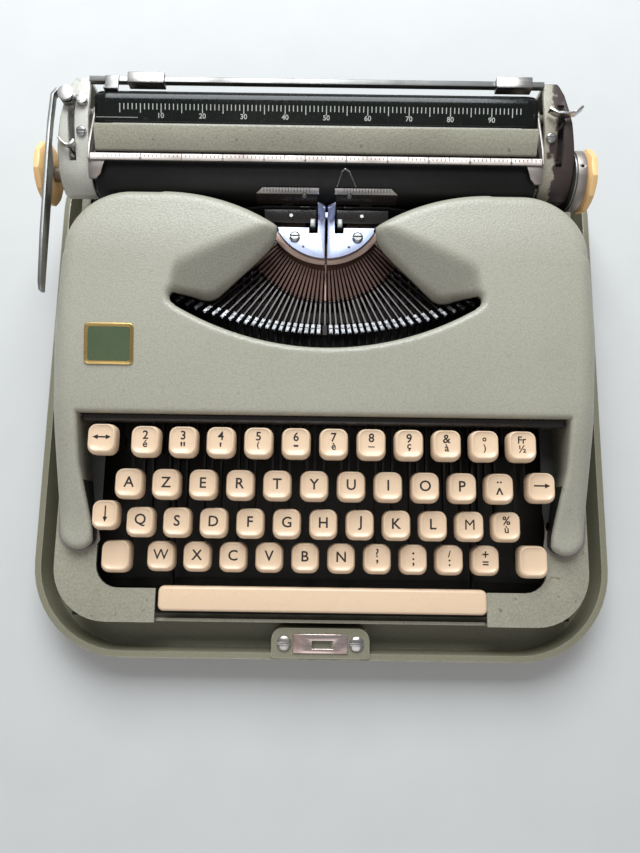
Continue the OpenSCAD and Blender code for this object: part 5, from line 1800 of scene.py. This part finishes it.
    def build(self) -> None:
        """Models every key top and its legend, row by row."""
        for number, ((y, top, first), words) in enumerate(zip(self.rows, self.legends), 1):
            body = f"keys_row_{number}"
            caps, signs, h_caps, h_signs = (bmesh.new() for _ in range(4))
            for i, word in enumerate(words.split(" ")):
                own = (number, i) == self.h_place
                seat = (first + i * self.pitch, y, top)
                self.cap(h_caps if own else caps, *seat, self.width, self.depth)
                self.write(h_signs if own else signs, word, seat)
            settle(caps, f"key_tops_{number}", body, KEY, (f"caps_row_{number}",), self.smooth)
            settle(signs, f"key_legends_{number}", body, INK)
            dressed_node(f"levers_row_{number}", DARK)
            if number == self.h_place[0]:
                settle(self.below("key_h", top - self.cap_h), "key_h_lever", "key_h", DARK)
                settle(h_caps, "key_h_top", "key_h", KEY, ("key_h",), self.smooth)
                settle(h_signs, "key_h_legend", "key_h", INK)
        for name, (x, y, top, w, d) in self.specials.items():
            self.special(name, (x, y, top), w, d)
        self.space()

    def write(self, bm: bmesh.types.BMesh, word: str, seat: Point) -> None:
        """Writes a key's legend: one letter, or two signs one above the other.

        Args:
            bm: The legends' workpiece.
            word: The letter, or both signs with a stroke between them.
            seat: The key's X, its distance in front of the frame's middle and the height of its crest.
        """
        cut = word.index("/", 1) if "/" in word[1:] else 0
        if not cut:
            self.sign(bm, lettering(word, self.letter_size, self.thin.get(word, -0.1)), seat, self.letter_y)
            return
        for text, (size, dy) in ((word[:cut], self.upper), (word[cut + 1:], self.lower)):
            size = self.upper_long if len(text) > 1 else size
            self.sign(bm, lettering(text, self.sizes.get(text, size), -0.1), seat, dy)

    def special(self, name: str, seat: Point, w: float, d: float) -> None:
        """Models one of the keys that print nothing, with its arrow if it has one.

        Args:
            name: The name of its body.
            seat: The key's X, its distance in front of the frame's middle and the height of its crest.
            w: Its width.
            d: Its depth.
        """
        bm = bmesh.new()
        self.cap(bm, *seat, w, d)
        settle(bm, f"{name}_top", name, KEY, (f"key_{name}",), self.smooth)
        if name in self.arrows:
            signs = bmesh.new()
            self.sign(signs, self.arrow(*self.arrows[name]), seat, 0.4)
            settle(signs, f"{name}_arrow", name, INK)
        settle(self.below(f"key_{name}", seat[2] - self.cap_h), f"{name}_lever", name, DARK)

    @staticmethod
    def below(node: str, z: float, front: float = 0.0) -> bmesh.types.BMesh:
        """Cuts a key's lever out of its node: what lies under a height where it is before a line.

        Args:
            node: The node's name.
            z: The height.
            front: The line's Y.

        Returns:
            The lever.
        """
        bm = copied(node)
        near = [f for f in bm.faces if f.calc_center_median().y < front or max(v.co.z for v in f.verts) > z]
        parts = [*near, *{e for f in near for e in f.edges}, *{v for f in near for v in f.verts}]
        bmesh.ops.bisect_plane(bm, geom=parts, plane_co=(0, 0, z - 0.03), plane_no=(0, 0, 1))
        gone = [v for v in bm.verts if v.co.z > z - 0.02 and v.co.y < front]
        bmesh.ops.delete(bm, geom=gone, context="VERTS")
        bmesh.ops.holes_fill(bm, edges=[e for e in bm.edges if e.is_boundary], sides=0)
        return bm

    def space(self) -> None:
        """Models the space bar's top and its two levers."""
        low, high = (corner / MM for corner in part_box("space_bar"))
        top, thick = high.z, self.space_top
        bm = bmesh.new()
        verts = plate(bm, squared(high.x - low.x, self.space_depth, 3.0), top - thick, thick)
        moved(bm, verts, Matrix.Translation(((low.x + high.x) / 2, low.y + self.space_depth / 2, 0)))
        upper = [e for e in sharp_edges(bm, 40.0) if min(v.co.z for v in e.verts) > top - 0.01]
        rounded(bm, upper, self.space_round, 4)
        settle(bm, "space_bar_top", "space_bar", KEY, ("space_bar",), self.smooth)
        settle(self.below("space_bar", top - thick, -100.0), "space_bar_levers", "space_bar", DARK)


@dataclass
class Studio:
    """Floor, lamps and camera."""

    floor_half: float = 3.0
    sky: Colour = (0.93, 0.95, 1.0)
    sky_strength: float = 0.25
    eye: Point = (-1.845, -85.283, 381.435)
    pitch: float = 9.255
    roll: float = 0.8266
    focal_px: float = 641.69
    frame_px: float = 640.0
    sensor: float = 36.0

    @staticmethod
    def lamp(name: str, place: Point, aim: Point, size: float, power: float, colour: Colour) -> None:
        """Adds a square soft lamp, in metres and watts.

        Args:
            name: Its name.
            place: Where it hangs.
            aim: What it looks at.
            size: Its width.
            power: Its power.
            colour: Its colour.
        """
        light = bpy.data.lights.new(name, "AREA")
        light.size = size
        light.energy = power
        light.color = colour
        holder = bpy.data.objects.new(name, light)
        holder.location = place
        holder.rotation_euler = (Vector(aim) - Vector(place)).to_track_quat("-Z", "Y").to_euler()
        bpy.context.scene.collection.objects.link(holder)

    def build(self) -> None:
        """Lays the floor, hangs the lamps and sets the camera where the photograph was taken."""
        scene = bpy.context.scene
        self.floor()
        self.lamp("key_lamp", (-0.06, 0.78, 0.8), (0.0, 0.03, 0.03), 0.8, 18.5, (0.91, 0.965, 1.0))
        self.lamp("fill_lamp", (-0.1, -0.95, 1.0), (0.0, 0.0, 0.03), 1.2, 5.0, (1.0, 0.98, 0.97))
        scene.world = bpy.data.worlds.new("studio")
        scene.world.use_nodes = True
        sky = scene.world.node_tree.nodes["Background"].inputs
        sky["Color"].default_value = (*self.sky, 1.0)
        sky["Strength"].default_value = self.sky_strength
        scene.camera = self.camera()
        scene.view_settings.view_transform = "Standard"

    def floor(self) -> None:
        """Lays the pale floor."""
        bm = bmesh.new()
        bmesh.ops.create_grid(bm, x_segments=2, y_segments=2, size=self.floor_half)
        mesh = bpy.data.meshes.new("studio_floor")
        bm.to_mesh(mesh)
        bm.free()
        mesh.materials.append(FLOOR.build())
        piece = bpy.data.objects.new("studio_floor", mesh)
        bpy.context.scene.collection.objects.link(piece)

    def camera(self) -> bpy.types.Object:
        """Sets up the camera.

        Returns:
            The camera.
        """
        lens = bpy.data.cameras.new("camera")
        lens.sensor_fit = "HORIZONTAL"
        lens.sensor_width = self.sensor
        lens.lens = self.focal_px / self.frame_px * self.sensor
        lens.clip_start = 0.01
        camera = bpy.data.objects.new("camera", lens)
        tilt = Matrix.Rotation(math.radians(self.pitch), 4, "X")
        turn = Matrix.Rotation(math.radians(self.roll), 4, "Z")
        camera.matrix_world = Matrix.Translation([c * MM for c in self.eye]) @ tilt @ turn
        bpy.context.scene.collection.objects.link(camera)
        return camera


def main() -> None:
    """Builds every sub-assembly in order."""
    logging.basicConfig(level=logging.INFO, format="%(name)s %(message)s")
    for part in (Studio(), Tray(), Housing(), TopCover(), Basket(), Ribbon(), Carriage(), Keyboard()):
        LOG.info("building %s", type(part).__name__)
        part.build()
    bpy.context.view_layer.update()


if __name__ == "__main__":
    main()
